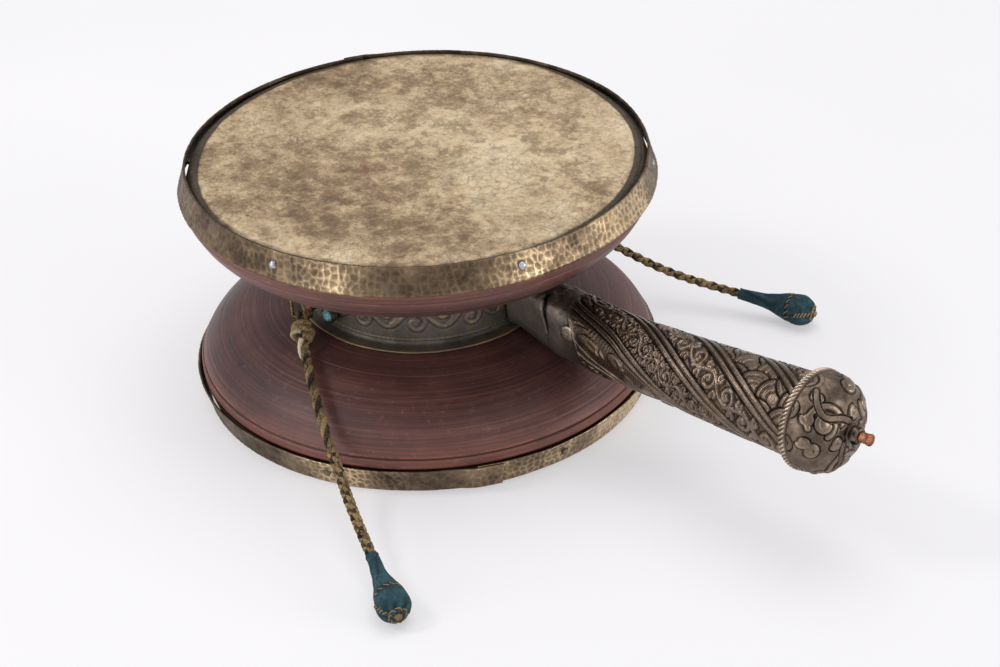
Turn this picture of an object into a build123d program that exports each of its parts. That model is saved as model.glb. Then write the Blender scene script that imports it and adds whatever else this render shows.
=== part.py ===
"""Hourglass hand drum: two turned bowls joined at a waist, hide heads under
hammered hoops, a metal handle, and two strikers on cords.

Millimetres. +Z is the drum's axis, +X runs along the handle, and the origin is
the centre of the plane that the lower hoop stands on.
"""
import math
import os

from build123d import *

# ---- driving dimensions -------------------------------------------------
drum_h = 116.4            # over both hoops
hoop_r = 110.0            # outer radius at the bowl side of a hoop
hoop_mouth_r = 106.3      # outer radius at the mouth edge of a hoop
hoop_h = 12.4
hoop_t = 1.2
skin_t = 0.8
skin_inset = 1.2          # the head lies this far inside the hoop's edge
skirt_h = 9.5             # how far the hide is turned down over the rim
slip = 0.05               # air between nested rims

bowl_r = 108.7            # wood, just past the hoop
bowl_rise = 31.0          # from the hoop's edge to the shoulder at the waist
neck_r = 53.0
crown_r = 47.5            # centre of the bowl's quarter-ellipse outline
bore_r = 38.0
rim_inner_r = 99.5
wall = 7.0

band_t = 1.2
flange_r = 59.6
nail_count = 6
nail_head_r = 1.8
nail_shank_r = 0.7

handle_y = 8.5            # the handle stands a little off the drum's axis
handle_z = 43.5           # height of the handle's axis over the drum's axis
handle_tilt = 4.7         # degrees upwards, away from the drum
tube_t = 1.3
tube_end = 226.0          # stations are measured along the handle's axis
cap_r = 21.8
cap_depth = 18.4
rod_r = 2.3

cord_d = 4.4
striker_ball_r = 7.7
striker_reach = 30.0      # from the neck's end to the centre of the ball
bead_r = 6.3
peg_r = 1.9
wire_r = 0.8
loop_half = 4.5
loop_h = 9.8
eye_slip = 0.1

coral_z, coral_cup, coral_reach = 56.6, 3.0, 64.5        # post over each loop
side_z, side_cup, side_reach = 53.2, 3.9, 59.4           # bosses beside each post
side_step = 7.4           # degrees from the post to a side boss

mid_z = drum_h / 2
waist_plane = Plane.XY.offset(mid_z)
os.makedirs("parts", exist_ok=True)


def finish(builder, label):
    """Label a finished sub-part and write it."""
    builder.part.label = label
    export_step(builder.part, f"parts/{label}.step")
    solids = builder.part.solids()
    print(f"{label:20s} {len(solids)} solid(s) {builder.part.volume:10.1f} mm3")


def mirrored(builder, label, about):
    """The same sub-part on the other side of a plane."""
    with BuildPart() as twin:
        mirror(builder.part, about=about, mode=Mode.ADD)
    finish(twin, label)
    return twin


def hoop_outer(height):
    """Outer radius of a hoop at a height over its mouth edge."""
    return hoop_mouth_r + (hoop_r - hoop_mouth_r) * height / hoop_h


def polar(radius, degrees, z):
    turn = math.radians(degrees)
    return Vector(radius * math.cos(turn), radius * math.sin(turn), z)


def along(origin, direction):
    """A plane whose X is a direction and whose Z is as level as it can be."""
    side = Vector(direction).cross(Vector(0, 0, 1)).normalized()
    return Plane(origin=origin, x_dir=direction, z_dir=side)


def dome(start, rim_r, height):
    """Outline of a spherical cap, from its rim down to the axis."""
    radius = (rim_r**2 + height**2) / (2 * height)
    rim = math.degrees(math.atan2(rim_r, radius - height))
    return CenterArc((start + height - radius, 0), radius, rim, -rim)


# ---- nails: a domed head and a shank driven square to the hoop -----------
def nail_ring(first_angle):
    height = hoop_h * 0.5
    slope = math.degrees(math.atan2(hoop_r - hoop_mouth_r, hoop_h))
    with BuildPart() as nails:
        for index in range(nail_count):
            angle = first_angle + index * 360 / nail_count
            outward = polar(1, angle, -math.tan(math.radians(slope))).normalized()
            seat = along(polar(hoop_outer(height), angle, height), outward)
            with BuildSketch(seat):
                with BuildLine():
                    shank_in = Line((0, 0), (-7.0, 0))
                    tip = Line(shank_in @ 1, (-6.0, nail_shank_r))
                    shank_out = Line(tip @ 1, (0, nail_shank_r))
                    brim = Line(shank_out @ 1, (0, nail_head_r))
                    crown = dome(0, nail_head_r, 1.1)
                    Line(crown @ 1, (0, 0))
                make_face()
            revolve(axis=Axis(seat.origin, outward))
    return nails


lower_nails = nail_ring(-70)
with BuildPart() as upper_nails:
    mirror(nail_ring(-80).part, about=waist_plane, mode=Mode.ADD)

# ---- lower bowl: a turned shell, open at the mouth and at the waist -------
rim_z = skin_inset + skin_t
band_z = hoop_h + 4.4
with BuildPart() as lower_bowl:
    with BuildSketch(Plane.XZ):
        with BuildLine():
            crown_x = bowl_r - crown_r
            from_neck = math.degrees(math.acos((neck_r - crown_r) / crown_x))
            to_groove = math.degrees(math.asin(5.6 / bowl_rise))
            outside = EllipticalCenterArc(
                (crown_r, hoop_h), crown_x, bowl_rise, to_groove,
                arc_size=from_neck - to_groove,
            )
            neck = Line(outside @ 1, (neck_r, mid_z))
            joint = Line(neck @ 1, (bore_r, mid_z))
            bore = Line(joint @ 1, (bore_r, hoop_h + bowl_rise - wall))
            inside = EllipticalCenterArc(
                (bore_r, hoop_h), rim_inner_r - bore_r, bowl_rise - wall, 0, arc_size=90
            )
            mouth = Line(inside @ 0, (rim_inner_r, rim_z))
            bearing = Line(mouth @ 1, (hoop_outer(rim_z) - 2.1, rim_z))
            seat_cone = Line(bearing @ 1, (hoop_outer(hoop_h) - 2.1, hoop_h))
            step = Line(seat_cone @ 1, (bowl_r, hoop_h + 0.6))
            band = Line(step @ 1, (bowl_r, band_z))
            groove = Line(band @ 1, (bowl_r - 1.5, band_z + 0.6))
            Line(groove @ 1, outside @ 0)
        make_face()
    revolve(axis=Axis.Z)
    add(lower_nails.part, mode=Mode.SUBTRACT)
finish(lower_bowl, "lower_bowl")

with BuildPart() as upper_bowl:
    mirror(lower_bowl.part, about=waist_plane, mode=Mode.ADD)
    # fill the rim's nail holes, then bore them where the upper nails stand
    with BuildSketch(Plane.XZ):
        with BuildLine():
            Polyline(
                (rim_inner_r, drum_h - rim_z),
                (hoop_outer(rim_z) - 2.1, drum_h - rim_z),
                (hoop_outer(hoop_h) - 2.1, drum_h - hoop_h),
                (rim_inner_r, drum_h - hoop_h),
                close=True,
            )
        make_face()
    revolve(axis=Axis.Z)
    add(upper_nails.part, mode=Mode.SUBTRACT)
finish(upper_bowl, "upper_bowl")


# ---- heads: a flat hide disc with its edge turned down over the rim -------
def head(nails, flip):
    turned = skirt_h + skin_inset
    with BuildPart() as skin:
        with BuildSketch(Plane.XZ):
            with BuildLine():
                Polyline(
                    (0, skin_inset),
                    (hoop_outer(skin_inset) - hoop_t - slip, skin_inset),
                    (hoop_outer(turned) - hoop_t - slip, turned),
                    (hoop_outer(turned) - 2.1 + slip, turned),
                    (hoop_outer(rim_z) - 2.1 + slip, rim_z - slip),
                    (0, rim_z - slip),
                    close=True,
                )
            make_face()
        revolve(axis=Axis.Z)
        if flip:
            mirror(about=waist_plane, mode=Mode.REPLACE)
        add(nails.part, mode=Mode.SUBTRACT)
    return skin


lower_skin = head(lower_nails, flip=False)
finish(lower_skin, "lower_skin")
upper_skin = head(upper_nails, flip=True)
finish(upper_skin, "upper_skin")


# ---- hoops: hammered strip, a little wider at the bowl side ---------------
def hoop(nails, flip):
    with BuildPart() as strip:
        with BuildSketch(Plane.XZ):
            with BuildLine():
                Polyline(
                    (hoop_mouth_r - hoop_t, 0),
                    (hoop_mouth_r, 0),
                    (hoop_r, hoop_h),
                    (hoop_r - hoop_t, hoop_h),
                    close=True,
                )
            make_face()
        revolve(axis=Axis.Z)
        if flip:
            mirror(about=waist_plane, mode=Mode.REPLACE)
        add(nails.part, mode=Mode.SUBTRACT)
    return strip


lower_hoop = hoop(lower_nails, flip=False)
finish(lower_hoop, "lower_hoop")
upper_hoop = hoop(upper_nails, flip=True)
finish(upper_hoop, "upper_hoop")
finish(lower_nails, "lower_hoop_nails")
finish(upper_nails, "upper_hoop_nails")

# ---- waist band: a strip round the joint with a flange on each shoulder ---
shoulder_z = hoop_h + bowl_rise
with BuildPart() as waist_band:
    with BuildSketch(Plane.XZ):
        with BuildLine():
            under = Line((neck_r + slip, mid_z), (neck_r + slip, shoulder_z - 0.02))
            lip = Line(under @ 1, (flange_r - 0.4, shoulder_z - 0.46))
            edge = ThreePointArc(
                lip @ 1, (flange_r, shoulder_z + 0.2), (flange_r - 0.5, shoulder_z + 0.7)
            )
            top = Line(edge @ 1, (neck_r + band_t + 0.8, shoulder_z + 1.2))
            root = Line(top @ 1, (neck_r + band_t, shoulder_z + 2.0))
            face = Line(root @ 1, (neck_r + band_t, mid_z))
            Line(face @ 1, under @ 0)
        make_face()
    revolve(axis=Axis.Z)
    mirror(about=waist_plane)
finish(waist_band, "waist_band")

# ---- handle: everything stands along one tilted axis ----------------------
tilt = math.radians(handle_tilt)
handle_dir = Vector(math.cos(tilt), 0, math.sin(tilt))
handle_up = Vector(-math.sin(tilt), 0, math.cos(tilt))
handle_origin = Vector(0, handle_y, handle_z)


def station(reach, lift=0.0):
    """A plane square to the handle's axis, with X across and Y upwards."""
    origin = handle_origin + handle_dir * reach + handle_up * lift
    return Plane(origin=origin, x_dir=(0, 1, 0), z_dir=handle_dir)


# reach along the axis, lift over it, half width, half height
sleeve_sections = (
    (62.0, 8.5, 10.0, 12.5),
    (82.0, 4.2, 10.6, 15.0),
    (104.0, 1.2, 13.0, 15.3),
    (130.0, 0.0, 15.2, 15.2),
    (178.0, 0.0, 16.9, 16.9),
    (tube_end, 0.0, 18.6, 18.6),
)


def sleeve(shrink, first=0.0, last=0.0):
    """The handle's outline, moved in by a distance on every side."""
    with BuildPart() as body:
        for index, (reach, lift, half_y, half_z) in enumerate(sleeve_sections):
            if index == 0:
                reach += first
            if index == len(sleeve_sections) - 1:
                reach += last
            with BuildSketch(station(reach, lift)):
                Ellipse(half_y - shrink, half_z - shrink)
        loft()
    return body


rivet_plane = Plane(origin=(96.0, handle_y, 57.6), x_dir=(1, 0, 0), z_dir=(0, -1, 0))
with BuildPart() as handle_rivet:
    with BuildSketch(rivet_plane):
        Circle(2.0)
    extrude(amount=13.4, both=True)
    with BuildSketch(rivet_plane.offset(11.9), rivet_plane.offset(-13.1)):
        Circle(3.7)
    extrude(amount=1.2)

with BuildPart() as tie_rod:
    with BuildSketch(station(110.0)):
        Circle(rod_r)
    extrude(amount=tube_end + cap_depth + 12.2 - 110.0)
    tip = tie_rod.faces().sort_by(Axis(handle_origin, handle_dir))[-1]
    fillet(tip.edges(), 0.9)

inside_tube = sleeve(tube_t, first=-1.0, last=1.0)
with BuildPart() as handle_tube:
    add(sleeve(0.0).part)
    add(inside_tube.part, mode=Mode.SUBTRACT)
    add(handle_rivet.part, mode=Mode.SUBTRACT)
finish(handle_tube, "handle_tube")

with BuildPart() as handle_core:
    add(inside_tube.part)
    split(bisect_by=station(63.0), keep=Keep.TOP)
    split(bisect_by=station(tube_end - 0.6), keep=Keep.BOTTOM)
    with BuildSketch(Plane(origin=(50.0, handle_y, mid_z), x_dir=(0, 1, 0), z_dir=(1, 0, 0))):
        RectangleRounded(9.0, 18.0, 2.0)
    extrude(amount=24.0)
    with BuildSketch(waist_plane.offset(-20.0)):
        Circle(neck_r + band_t + slip)
    extrude(amount=40.0, mode=Mode.SUBTRACT)
    add(handle_rivet.part, mode=Mode.SUBTRACT)
    add(tie_rod.part, mode=Mode.SUBTRACT)
finish(handle_core, "handle_core")
finish(handle_rivet, "handle_rivet")

with BuildPart() as cap_ring:
    with BuildSketch(Plane(origin=station(tube_end).origin, x_dir=handle_dir, z_dir=(0, -1, 0))):
        with BuildLine():
            foot = Line((-2.6, 18.9), (2.4, 18.9))
            front = Line(foot @ 1, (2.4, cap_r - 0.3))
            rope = ThreePointArc(front @ 1, (0.0, cap_r + 0.9), (-2.6, cap_r - 1.4))
            Line(rope @ 1, foot @ 0)
        make_face()
    revolve(axis=Axis(handle_origin, handle_dir))
finish(cap_ring, "cap_ring")

cap_start = tube_end + 2.45
with BuildPart() as end_cap:
    with BuildSketch(Plane(origin=station(cap_start).origin, x_dir=handle_dir, z_dir=(0, -1, 0))):
        with BuildLine():
            outer = EllipticalCenterArc((0, 0), cap_depth - 2.0, cap_r, 0, arc_size=90)
            brim = Line(outer @ 1, (0, cap_r - 1.4))
            inner = EllipticalCenterArc((0, 0), cap_depth - 3.4, cap_r - 1.4, 90, arc_size=-90)
            Line(inner @ 1, outer @ 0)
        make_face()
    revolve(axis=Axis(handle_origin, handle_dir))
    add(tie_rod.part, mode=Mode.SUBTRACT)
finish(end_cap, "end_cap")

knob_start = cap_start + cap_depth - 2.35
with BuildPart() as finial_knob:
    with BuildSketch(Plane(origin=station(knob_start).origin, x_dir=handle_dir, z_dir=(0, -1, 0))):
        with BuildLine():
            base = Line((0, rod_r), (0, 4.6))
            waist = ThreePointArc(base @ 1, (1.4, 2.9), (2.6, 3.3))
            bulge = ThreePointArc(waist @ 1, (4.6, 4.0), (6.4, 3.1))
            nose = Line(bulge @ 1, (6.4, rod_r))
            Line(nose @ 1, base @ 0)
        make_face()
    revolve(axis=Axis(handle_origin, handle_dir))
    add(end_cap.part, mode=Mode.SUBTRACT)
finish(finial_knob, "finial_knob")
finish(tie_rod, "tie_rod")

# ---- cord lug at the front of the waist: post, wire loop and stones -------
loop_foot = Vector(-15.6, -64.2, 50.2)     # middle of the wire the cord hangs on
swing_heading = -55.0                      # plan direction in which the cord swings up
wire_dir = polar(1, swing_heading + 90, 0)
inner_leg = loop_foot + wire_dir * loop_half
post_angle = math.degrees(math.atan2(inner_leg.Y, inner_leg.X))

with BuildPart() as front_loop:
    loop_plane = Plane(
        origin=loop_foot, x_dir=wire_dir, z_dir=wire_dir.cross(Vector(0, 0, 1))
    )
    with BuildLine(loop_plane) as wire_path:
        FilletPolyline(
            (-loop_half, 0), (loop_half, 0), (loop_half, loop_h), (-loop_half, loop_h),
            radius=1.5, close=True,
        )
    wire_line = wire_path.wire()
    with BuildSketch(Plane(origin=wire_line @ 0, z_dir=wire_line % 0)):
        Circle(wire_r)
    sweep(path=wire_line)
finish(front_loop, "front_loop")
rear_loop = mirrored(front_loop, "rear_loop", Plane.XZ)


def boss(angle, z, root_r, cup_r, root_len, reach_r):
    """A round boss on the band that ends in a cup for a stone."""
    start = polar(neck_r - 1.0, angle, z)
    outward = polar(1, angle, 0)
    with BuildPart() as casting:
        seat = Plane(origin=start, z_dir=outward)
        with BuildSketch(seat):
            Circle(root_r)
        with BuildSketch(seat.offset(root_len)):
            Circle(root_r)
        extrude(amount=-root_len)
        with BuildSketch(seat.offset(root_len)):
            Circle(cup_r)
        extrude(amount=reach_r - (neck_r - 1.0) - root_len)
        with BuildSketch(seat.offset(reach_r - (neck_r - 1.0) - 0.9)):
            Circle(cup_r - 0.9)
        extrude(amount=2.0, mode=Mode.SUBTRACT)
        with BuildSketch(waist_plane.offset(-15.0)):
            Circle(neck_r + band_t)
        extrude(amount=30.0, mode=Mode.SUBTRACT)
    return casting


def cabochon(angle, z, cup_r, reach_r, height):
    """A domed stone that sits in a boss's cup."""
    seat = along(polar(reach_r - 0.9, angle, z), polar(1, angle, 0))
    with BuildPart() as stone:
        with BuildSketch(seat):
            with BuildLine():
                foot = Line((0, 0), (0, cup_r - 0.95))
                side = Line(foot @ 1, (0.9, cup_r - 0.95))
                crown = dome(0.9, cup_r - 0.95, height)
                Line(crown @ 1, foot @ 0)
            make_face()
        revolve(axis=Axis(seat.origin, seat.x_dir))
    return stone


with BuildPart() as front_post:
    add(boss(post_angle, coral_z, 2.3, coral_cup, 10.6, coral_reach).part)
    add(front_loop.part, mode=Mode.SUBTRACT)
finish(front_post, "front_post")
rear_post = mirrored(front_post, "rear_post", Plane.XZ)

coral = cabochon(post_angle, coral_z, coral_cup, coral_reach, 0.7)
with BuildPart() as coral_stones:
    add(coral.part)
    mirror(coral.part, about=Plane.XZ, mode=Mode.ADD)
finish(coral_stones, "coral_stones")

with BuildPart() as turquoise_bezels:
    for side in (-1, 1):
        casting = boss(post_angle + side * side_step, side_z, 3.0, side_cup, 4.0, side_reach)
        add(casting.part)
        mirror(casting.part, about=Plane.XZ, mode=Mode.ADD)
finish(turquoise_bezels, "turquoise_bezels")
with BuildPart() as turquoise_stones:
    for side in (-1, 1):
        stone = cabochon(post_angle + side * side_step, side_z, side_cup, side_reach, 1.6)
        add(stone.part)
        mirror(stone.part, about=Plane.XZ, mode=Mode.ADD)
finish(turquoise_stones, "turquoise_stones")

# ---- cords: routes chosen by hand, from the knot to the striker's neck ----
front_ball = Vector(130.3, -150.4, 7.75)
rear_ball = Vector(113.7, 144.9, 7.75)
striker_rake = math.radians(6.5)


def striker_axis(heading):
    """Direction from a striker's neck down to its ball."""
    level = math.cos(striker_rake)
    turn = math.radians(heading)
    return Vector(level * math.cos(turn), level * math.sin(turn), -math.sin(striker_rake))


front_axis = striker_axis(-27.5)
rear_axis = striker_axis(22.0)
front_neck = front_ball - front_axis * striker_reach
rear_neck = rear_ball - rear_axis * striker_reach
front_route = (
    (-2.9, -75.7, 46.5),
    (14.4, -88.0, 44.0),
    (29.4, -97.6, 38.5),
    (43.5, -104.9, 28.5),
    (58.4, -111.9, 18.5),
    tuple(front_neck - front_axis * 27.0),
    tuple(front_neck),
)
rear_route = (
    (-2.9, 75.7, 46.5),
    (7.5, 87.0, 43.5),
    (19.0, 98.0, 36.5),
    (31.0, 108.5, 26.5),
    (46.0, 117.0, 18.5),
    tuple(rear_neck - rear_axis * 24.0),
    tuple(rear_neck),
)


def cord(route, label):
    """A round cord on straight runs joined by the largest arcs that fit."""
    points = [Vector(point) for point in route]
    runs = [after - before for before, after in zip(points, points[1:])]
    radii = []
    for run_in, run_out in zip(runs, runs[1:]):
        half_turn = math.radians(run_in.get_angle(run_out)) / 2
        radii.append(0.45 * min(run_in.length, run_out.length) / math.tan(half_turn))
    with BuildPart() as tube:
        with BuildLine() as path:
            FilletPolyline(*points, radius=radii)
        line = path.wire()
        with BuildSketch(Plane(origin=points[0], z_dir=runs[0])):
            Circle(cord_d / 2)
        sweep(path=line)
    ideal = math.pi * cord_d**2 / 4 * line.length
    print(f"{label}: length {line.length:.1f}, volume over ideal {tube.part.volume / ideal:.4f}")
    finish(tube, label)
    return tube


front_cord = cord(front_route, "front_cord")
rear_cord = cord(rear_route, "rear_cord")


# ---- knots: an eye round the loop's wire, the wrapped body, a short collar -
def knot(foot, wire, route, label):
    start = Vector(route[0])
    lead = (Vector(route[1]) - start).normalized()
    reach = start - foot
    axis = reach.normalized()
    with BuildPart() as body:
        with BuildSketch(Plane(origin=foot - wire * 2.3, z_dir=wire)):
            Circle(2.9)
        extrude(amount=4.6)
        middle = along(foot + reach * 0.57, axis)
        with BuildSketch(middle):
            with BuildLine():
                shell = EllipticalCenterArc((0, 0), 7.2, 5.7, 0, arc_size=180)
                Line(shell @ 1, shell @ 0)
            make_face()
        revolve(axis=Axis(middle.origin, axis))
        with BuildSketch(Plane(origin=start, z_dir=lead)):
            Circle(3.0)
        extrude(amount=-6.0)
        with BuildSketch(Plane(origin=foot - wire * 9, z_dir=wire)):
            Circle(wire_r + eye_slip)
        extrude(amount=18, mode=Mode.SUBTRACT)
    finish(body, label)
    return body


front_knot = knot(loop_foot, wire_dir, front_route, "front_knot")
rear_foot = Vector(loop_foot.X, -loop_foot.Y, loop_foot.Z)
rear_wire = Vector(wire_dir.X, -wire_dir.Y, 0)
rear_knot = knot(rear_foot, rear_wire, rear_route, "rear_knot")


# ---- strikers: a wooden bead with a peg, sewn into a cloth cover ----------
def striker(neck, axis, name):
    frame = along(neck, axis)
    with BuildPart() as core:
        with BuildSketch(frame):
            with BuildLine():
                end = Line((0, 0), (0, peg_r))
                root = math.degrees(math.asin(peg_r / bead_r))
                bead = CenterArc((striker_reach, 0), bead_r, 180 - root, root - 180)
                Line(end @ 1, bead @ 0)
                Line(bead @ 1, end @ 0)
            make_face()
        revolve(axis=Axis(neck, axis))
    with BuildPart() as cover:
        with BuildSketch(frame):
            with BuildLine():
                cuff = Line((0, 0), (0, 2.9))
                sleeve_side = Spline(
                    (0, 2.9), (9, 3.2), (18, 5.0), (24, 7.0), (striker_reach, striker_ball_r),
                    tangents=[(1, 0), (1, 0)],
                )
                ball = CenterArc((striker_reach, 0), striker_ball_r, 90, -90)
                Line(ball @ 1, cuff @ 0)
            make_face()
        revolve(axis=Axis(neck, axis))
        add(core.part, mode=Mode.SUBTRACT)
    finish(core, f"{name}_core")
    finish(cover, f"{name}_cover")
    return core, cover


front_core, front_cover = striker(front_neck, front_axis, "front_striker")
rear_core, rear_cover = striker(rear_neck, rear_axis, "rear_striker")
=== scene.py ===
"""Looks of the hourglass hand drum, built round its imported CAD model.

Metres in Blender; the numbers below are millimetres in the same frame, and MM
turns them into metres. +Z is the drum's axis and +X runs along the handle.
"""
import math

import bpy
import numpy as np
from mathutils import Matrix, Vector


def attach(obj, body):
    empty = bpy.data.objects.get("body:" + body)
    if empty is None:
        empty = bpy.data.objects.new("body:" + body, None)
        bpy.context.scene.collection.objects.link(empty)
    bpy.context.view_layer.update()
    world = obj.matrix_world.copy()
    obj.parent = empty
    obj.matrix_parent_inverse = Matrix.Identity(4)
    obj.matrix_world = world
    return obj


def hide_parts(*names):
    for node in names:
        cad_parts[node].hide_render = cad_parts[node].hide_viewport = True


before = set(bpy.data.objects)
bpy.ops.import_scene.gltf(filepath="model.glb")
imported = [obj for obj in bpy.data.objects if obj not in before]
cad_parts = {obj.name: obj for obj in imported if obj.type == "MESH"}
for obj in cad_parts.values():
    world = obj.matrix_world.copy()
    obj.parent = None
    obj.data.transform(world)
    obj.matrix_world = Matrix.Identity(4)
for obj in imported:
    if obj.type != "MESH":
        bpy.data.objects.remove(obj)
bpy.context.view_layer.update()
MM = 0.001
TAU = 2 * math.pi
FLAT = (1, 1, 0)                # a factor that takes the height out of points
SIDEWAYS = np.array([0, 1.0, 0])

# ---- camera
camera = bpy.data.objects.new("camera", bpy.data.cameras.new("camera"))
bpy.context.scene.collection.objects.link(camera)
camera.data.lens, camera.data.sensor_width = 90, 36
camera.matrix_world = Matrix.Translation((0.74955, -0.69897, 0.65495)) @ Matrix((
    (0.7215, -0.34523, 0.60021, 0),
    (0.69152, 0.40347, -0.59918, 0),
    (-0.03531, 0.84736, 0.52984, 0),
    (0, 0, 0, 1),
))
bpy.context.scene.camera = camera


# ---- repeatable noise and drawing helpers
def lattice(ix, iy, iz, seed):
    """A repeatable number from 0 to 1 for each whole-number point."""
    mask = 0xFFFFFFFF
    key = (ix * 374761393 + iy * 668265263 + iz * 1442695041 + seed * 974634777) & mask
    key = ((key ^ (key >> 13)) * 1274126177) & mask
    return ((key ^ (key >> 16)) & 0xFFFF) / 65535.0


def noise(points, size, seed=0, octaves=1):
    """Smooth noise from -1 to 1 whose bumps are about a size apart."""
    points = np.asarray(points, float)
    if points.ndim == 1 or points.shape[-1] != 3:
        points = np.stack([points, points * 0, points * 0], -1)
    total, weight = 0.0, 1.0
    for octave in range(octaves):
        spot = points / size * 2**octave + 1000.5
        base = np.floor(spot).astype(np.int64)
        part = spot - base
        part = part * part * (3 - 2 * part)
        value = 0.0
        for corner in np.ndindex(2, 2, 2):
            share = np.prod(np.where(corner, part, 1 - part), axis=-1)
            cell = base + np.array(corner)
            ix, iy, iz = np.moveaxis(cell, -1, 0)
            value = value + share * lattice(ix, iy, iz, seed + octave)
        total = total + weight * (2 * value - 1)
        weight *= 0.5
    return total


def smooth(x, low, high):
    """0 below low, 1 above high, and a smooth step between."""
    t = np.clip((x - low) / (high - low), 0, 1)
    return t * t * (3 - 2 * t)


def hump(x, width):
    """A round-topped ridge, 1 at its middle and 0 past its half width."""
    return np.sqrt(np.clip(1 - (x / width) ** 2, 0, 1))


def dip(x, width):
    """A bell, 1 at its middle, that fades out over a width."""
    return np.exp(-((x / width) ** 2))


def full_turn(sides):
    """One row of angles, evenly spaced all the way round."""
    return np.linspace(0, TAU, sides, endpoint=False)[None]


def off_angle(turn, place):
    """Degrees from a direction to each angle, from -180 to 180."""
    return (np.degrees(turn) - place + 180) % 360 - 180


def on_circle(turn):
    """Points on a unit circle in the floor's plane."""
    return np.stack([np.cos(turn), np.sin(turn), 0 * turn], -1)


def swell(rings, scale):
    """Move points away from the drum's axis, in place."""
    rings[..., :2] *= scale[..., None]


def moved(origin, *moves):
    """Points reached from an origin by an amount along each of some directions."""
    for amount, way in moves:
        origin = origin + amount[..., None] * way
    return origin


def reach_of(path):
    """How far along a path each of its points lies."""
    return np.concatenate([[0], np.cumsum(np.linalg.norm(np.diff(path, axis=0), axis=1))])


def spiral(centre, outer, inner, start, turns, points=70):
    """A flat spiral from its outer radius in to its inner one."""
    t = np.linspace(0, 1, points)
    radius = outer + (inner - outer) * t**0.8
    angle = start + turns * TAU * t
    return np.stack([
        centre[0] + radius * np.cos(angle), centre[1] + radius * np.sin(angle)
    ], -1)


def nearest(u, v, drawn):
    """How far each flat point is from the closest drawn point."""
    here = np.stack([u.ravel(), v.ravel()], -1).astype(np.float32)
    drawn = drawn.astype(np.float32)
    found = np.empty(len(here), np.float32)
    for start in range(0, len(here), 20000):
        block = here[start:start + 20000]
        square = (
            (block**2).sum(1)[:, None] + (drawn**2).sum(1)[None] - 2 * block @ drawn.T
        )
        found[start:start + 20000] = np.sqrt(np.clip(square.min(1), 0, None))
    return found.reshape(u.shape).astype(float)


def transport(path):
    """Directions along a path, and two square to it that turn as little as possible."""
    ahead = np.gradient(path, axis=0)
    ahead /= np.linalg.norm(ahead, axis=1)[:, None]
    side = np.empty_like(ahead)
    first = np.cross(ahead[0], (0, 0, 1))
    if np.linalg.norm(first) < 0.1:
        first = np.cross(ahead[0], (1, 0, 0))
    side[0] = first / np.linalg.norm(first)
    for i in range(1, len(path)):
        turned = side[i - 1] - ahead[i] * (side[i - 1] @ ahead[i])
        side[i] = turned / np.linalg.norm(turned)
    return ahead, side, np.cross(ahead, side)


def resample(path, gap):
    """The same line with evenly spaced points, and how far along each one is."""
    reach = reach_of(path)
    even = np.linspace(0, reach[-1], max(2, int(round(reach[-1] / gap)) + 1))
    return np.stack([np.interp(even, reach, path[:, k]) for k in range(3)], -1), even


def tube(path, radius, sides, ply=0.0, plies=3, pitch=6.0):
    """Rings of points round a path; a ply makes the surface a twisted yarn."""
    ahead, side, up = transport(path)
    reach, turn = reach_of(path)[:, None], full_turn(sides)
    size = np.broadcast_to(np.asarray(radius, float).reshape(-1, 1), (len(path), 1))
    size = size * (1 + ply * (np.abs(np.cos(plies * turn / 2 + TAU * reach / pitch)) - 0.6))
    rings = path[:, None] + size[..., None] * (
        np.cos(turn)[..., None] * side[:, None] + np.sin(turn)[..., None] * up[:, None]
    )
    marks = {
        "lengthwise": np.broadcast_to(reach, rings.shape[:2]),
        "round_x": np.broadcast_to(np.cos(turn), rings.shape[:2]),
        "round_y": np.broadcast_to(np.sin(turn), rings.shape[:2]),
    }
    return rings, marks


def across_profile(profile, turn):
    """A profile's two columns and a row of angles, spread over rings of points."""
    return np.broadcast_arrays(profile[:, :1], profile[:, 1:2], turn)


def yarn(path, radius, strand, tone=0.0, pale=0.0, twist=(14, 0.15, 4, 4.5)):
    """A shell for piece(): a twisted yarn, and the marks that its finish reads."""
    sides, ply, plies, pitch = twist
    rings, marks = tube(path, radius, sides, ply, plies, pitch)
    return rings, False, {**marks, "strand": strand, "tone": tone, "pale": pale}


def revolve(profile, sides):
    """Rings of points round the drum's axis from (radius, height) pairs."""
    radius, height, turn = across_profile(profile, full_turn(sides))
    return np.stack([radius * np.cos(turn), radius * np.sin(turn), height], -1), turn


def shell(rings, loop, offset):
    """Faces over rings of points; loop closes the first ring to the last."""
    rows, cols = rings.shape[:2]
    points = rings.reshape(-1, 3)
    row = np.arange(rows if loop else rows - 1)[:, None]
    col = np.arange(cols)[None]
    after, beside = (row + 1) % rows, (col + 1) % cols
    quads = np.stack([
        row * cols + col, row * cols + beside, after * cols + beside, after * cols + col
    ], -1).reshape(-1, 4)
    faces = (quads + offset).tolist()
    if not loop:
        points = np.vstack([points, rings[0].mean(0), rings[-1].mean(0)])
        first, last = offset + rows * cols, offset + rows * cols + 1
        top = offset + (rows - 1) * cols
        for i in range(cols):
            j = (i + 1) % cols
            faces.append([first, offset + j, offset + i])
            faces.append([last, top + i, top + j])
    return points, faces


def outward(points, faces):
    """True if a closed surface's faces look outwards."""
    sample = np.array([face[:3] for face in faces])
    extra = np.array([[face[0], face[2], face[-1]] for face in faces if len(face) == 4])
    total = 0.0
    for corners in (sample, extra):
        if len(corners):
            a, b, c = (points[corners[:, k]] for k in range(3))
            total += np.einsum("ij,ij->i", a, np.cross(b, c)).sum()
    return total > 0


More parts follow.
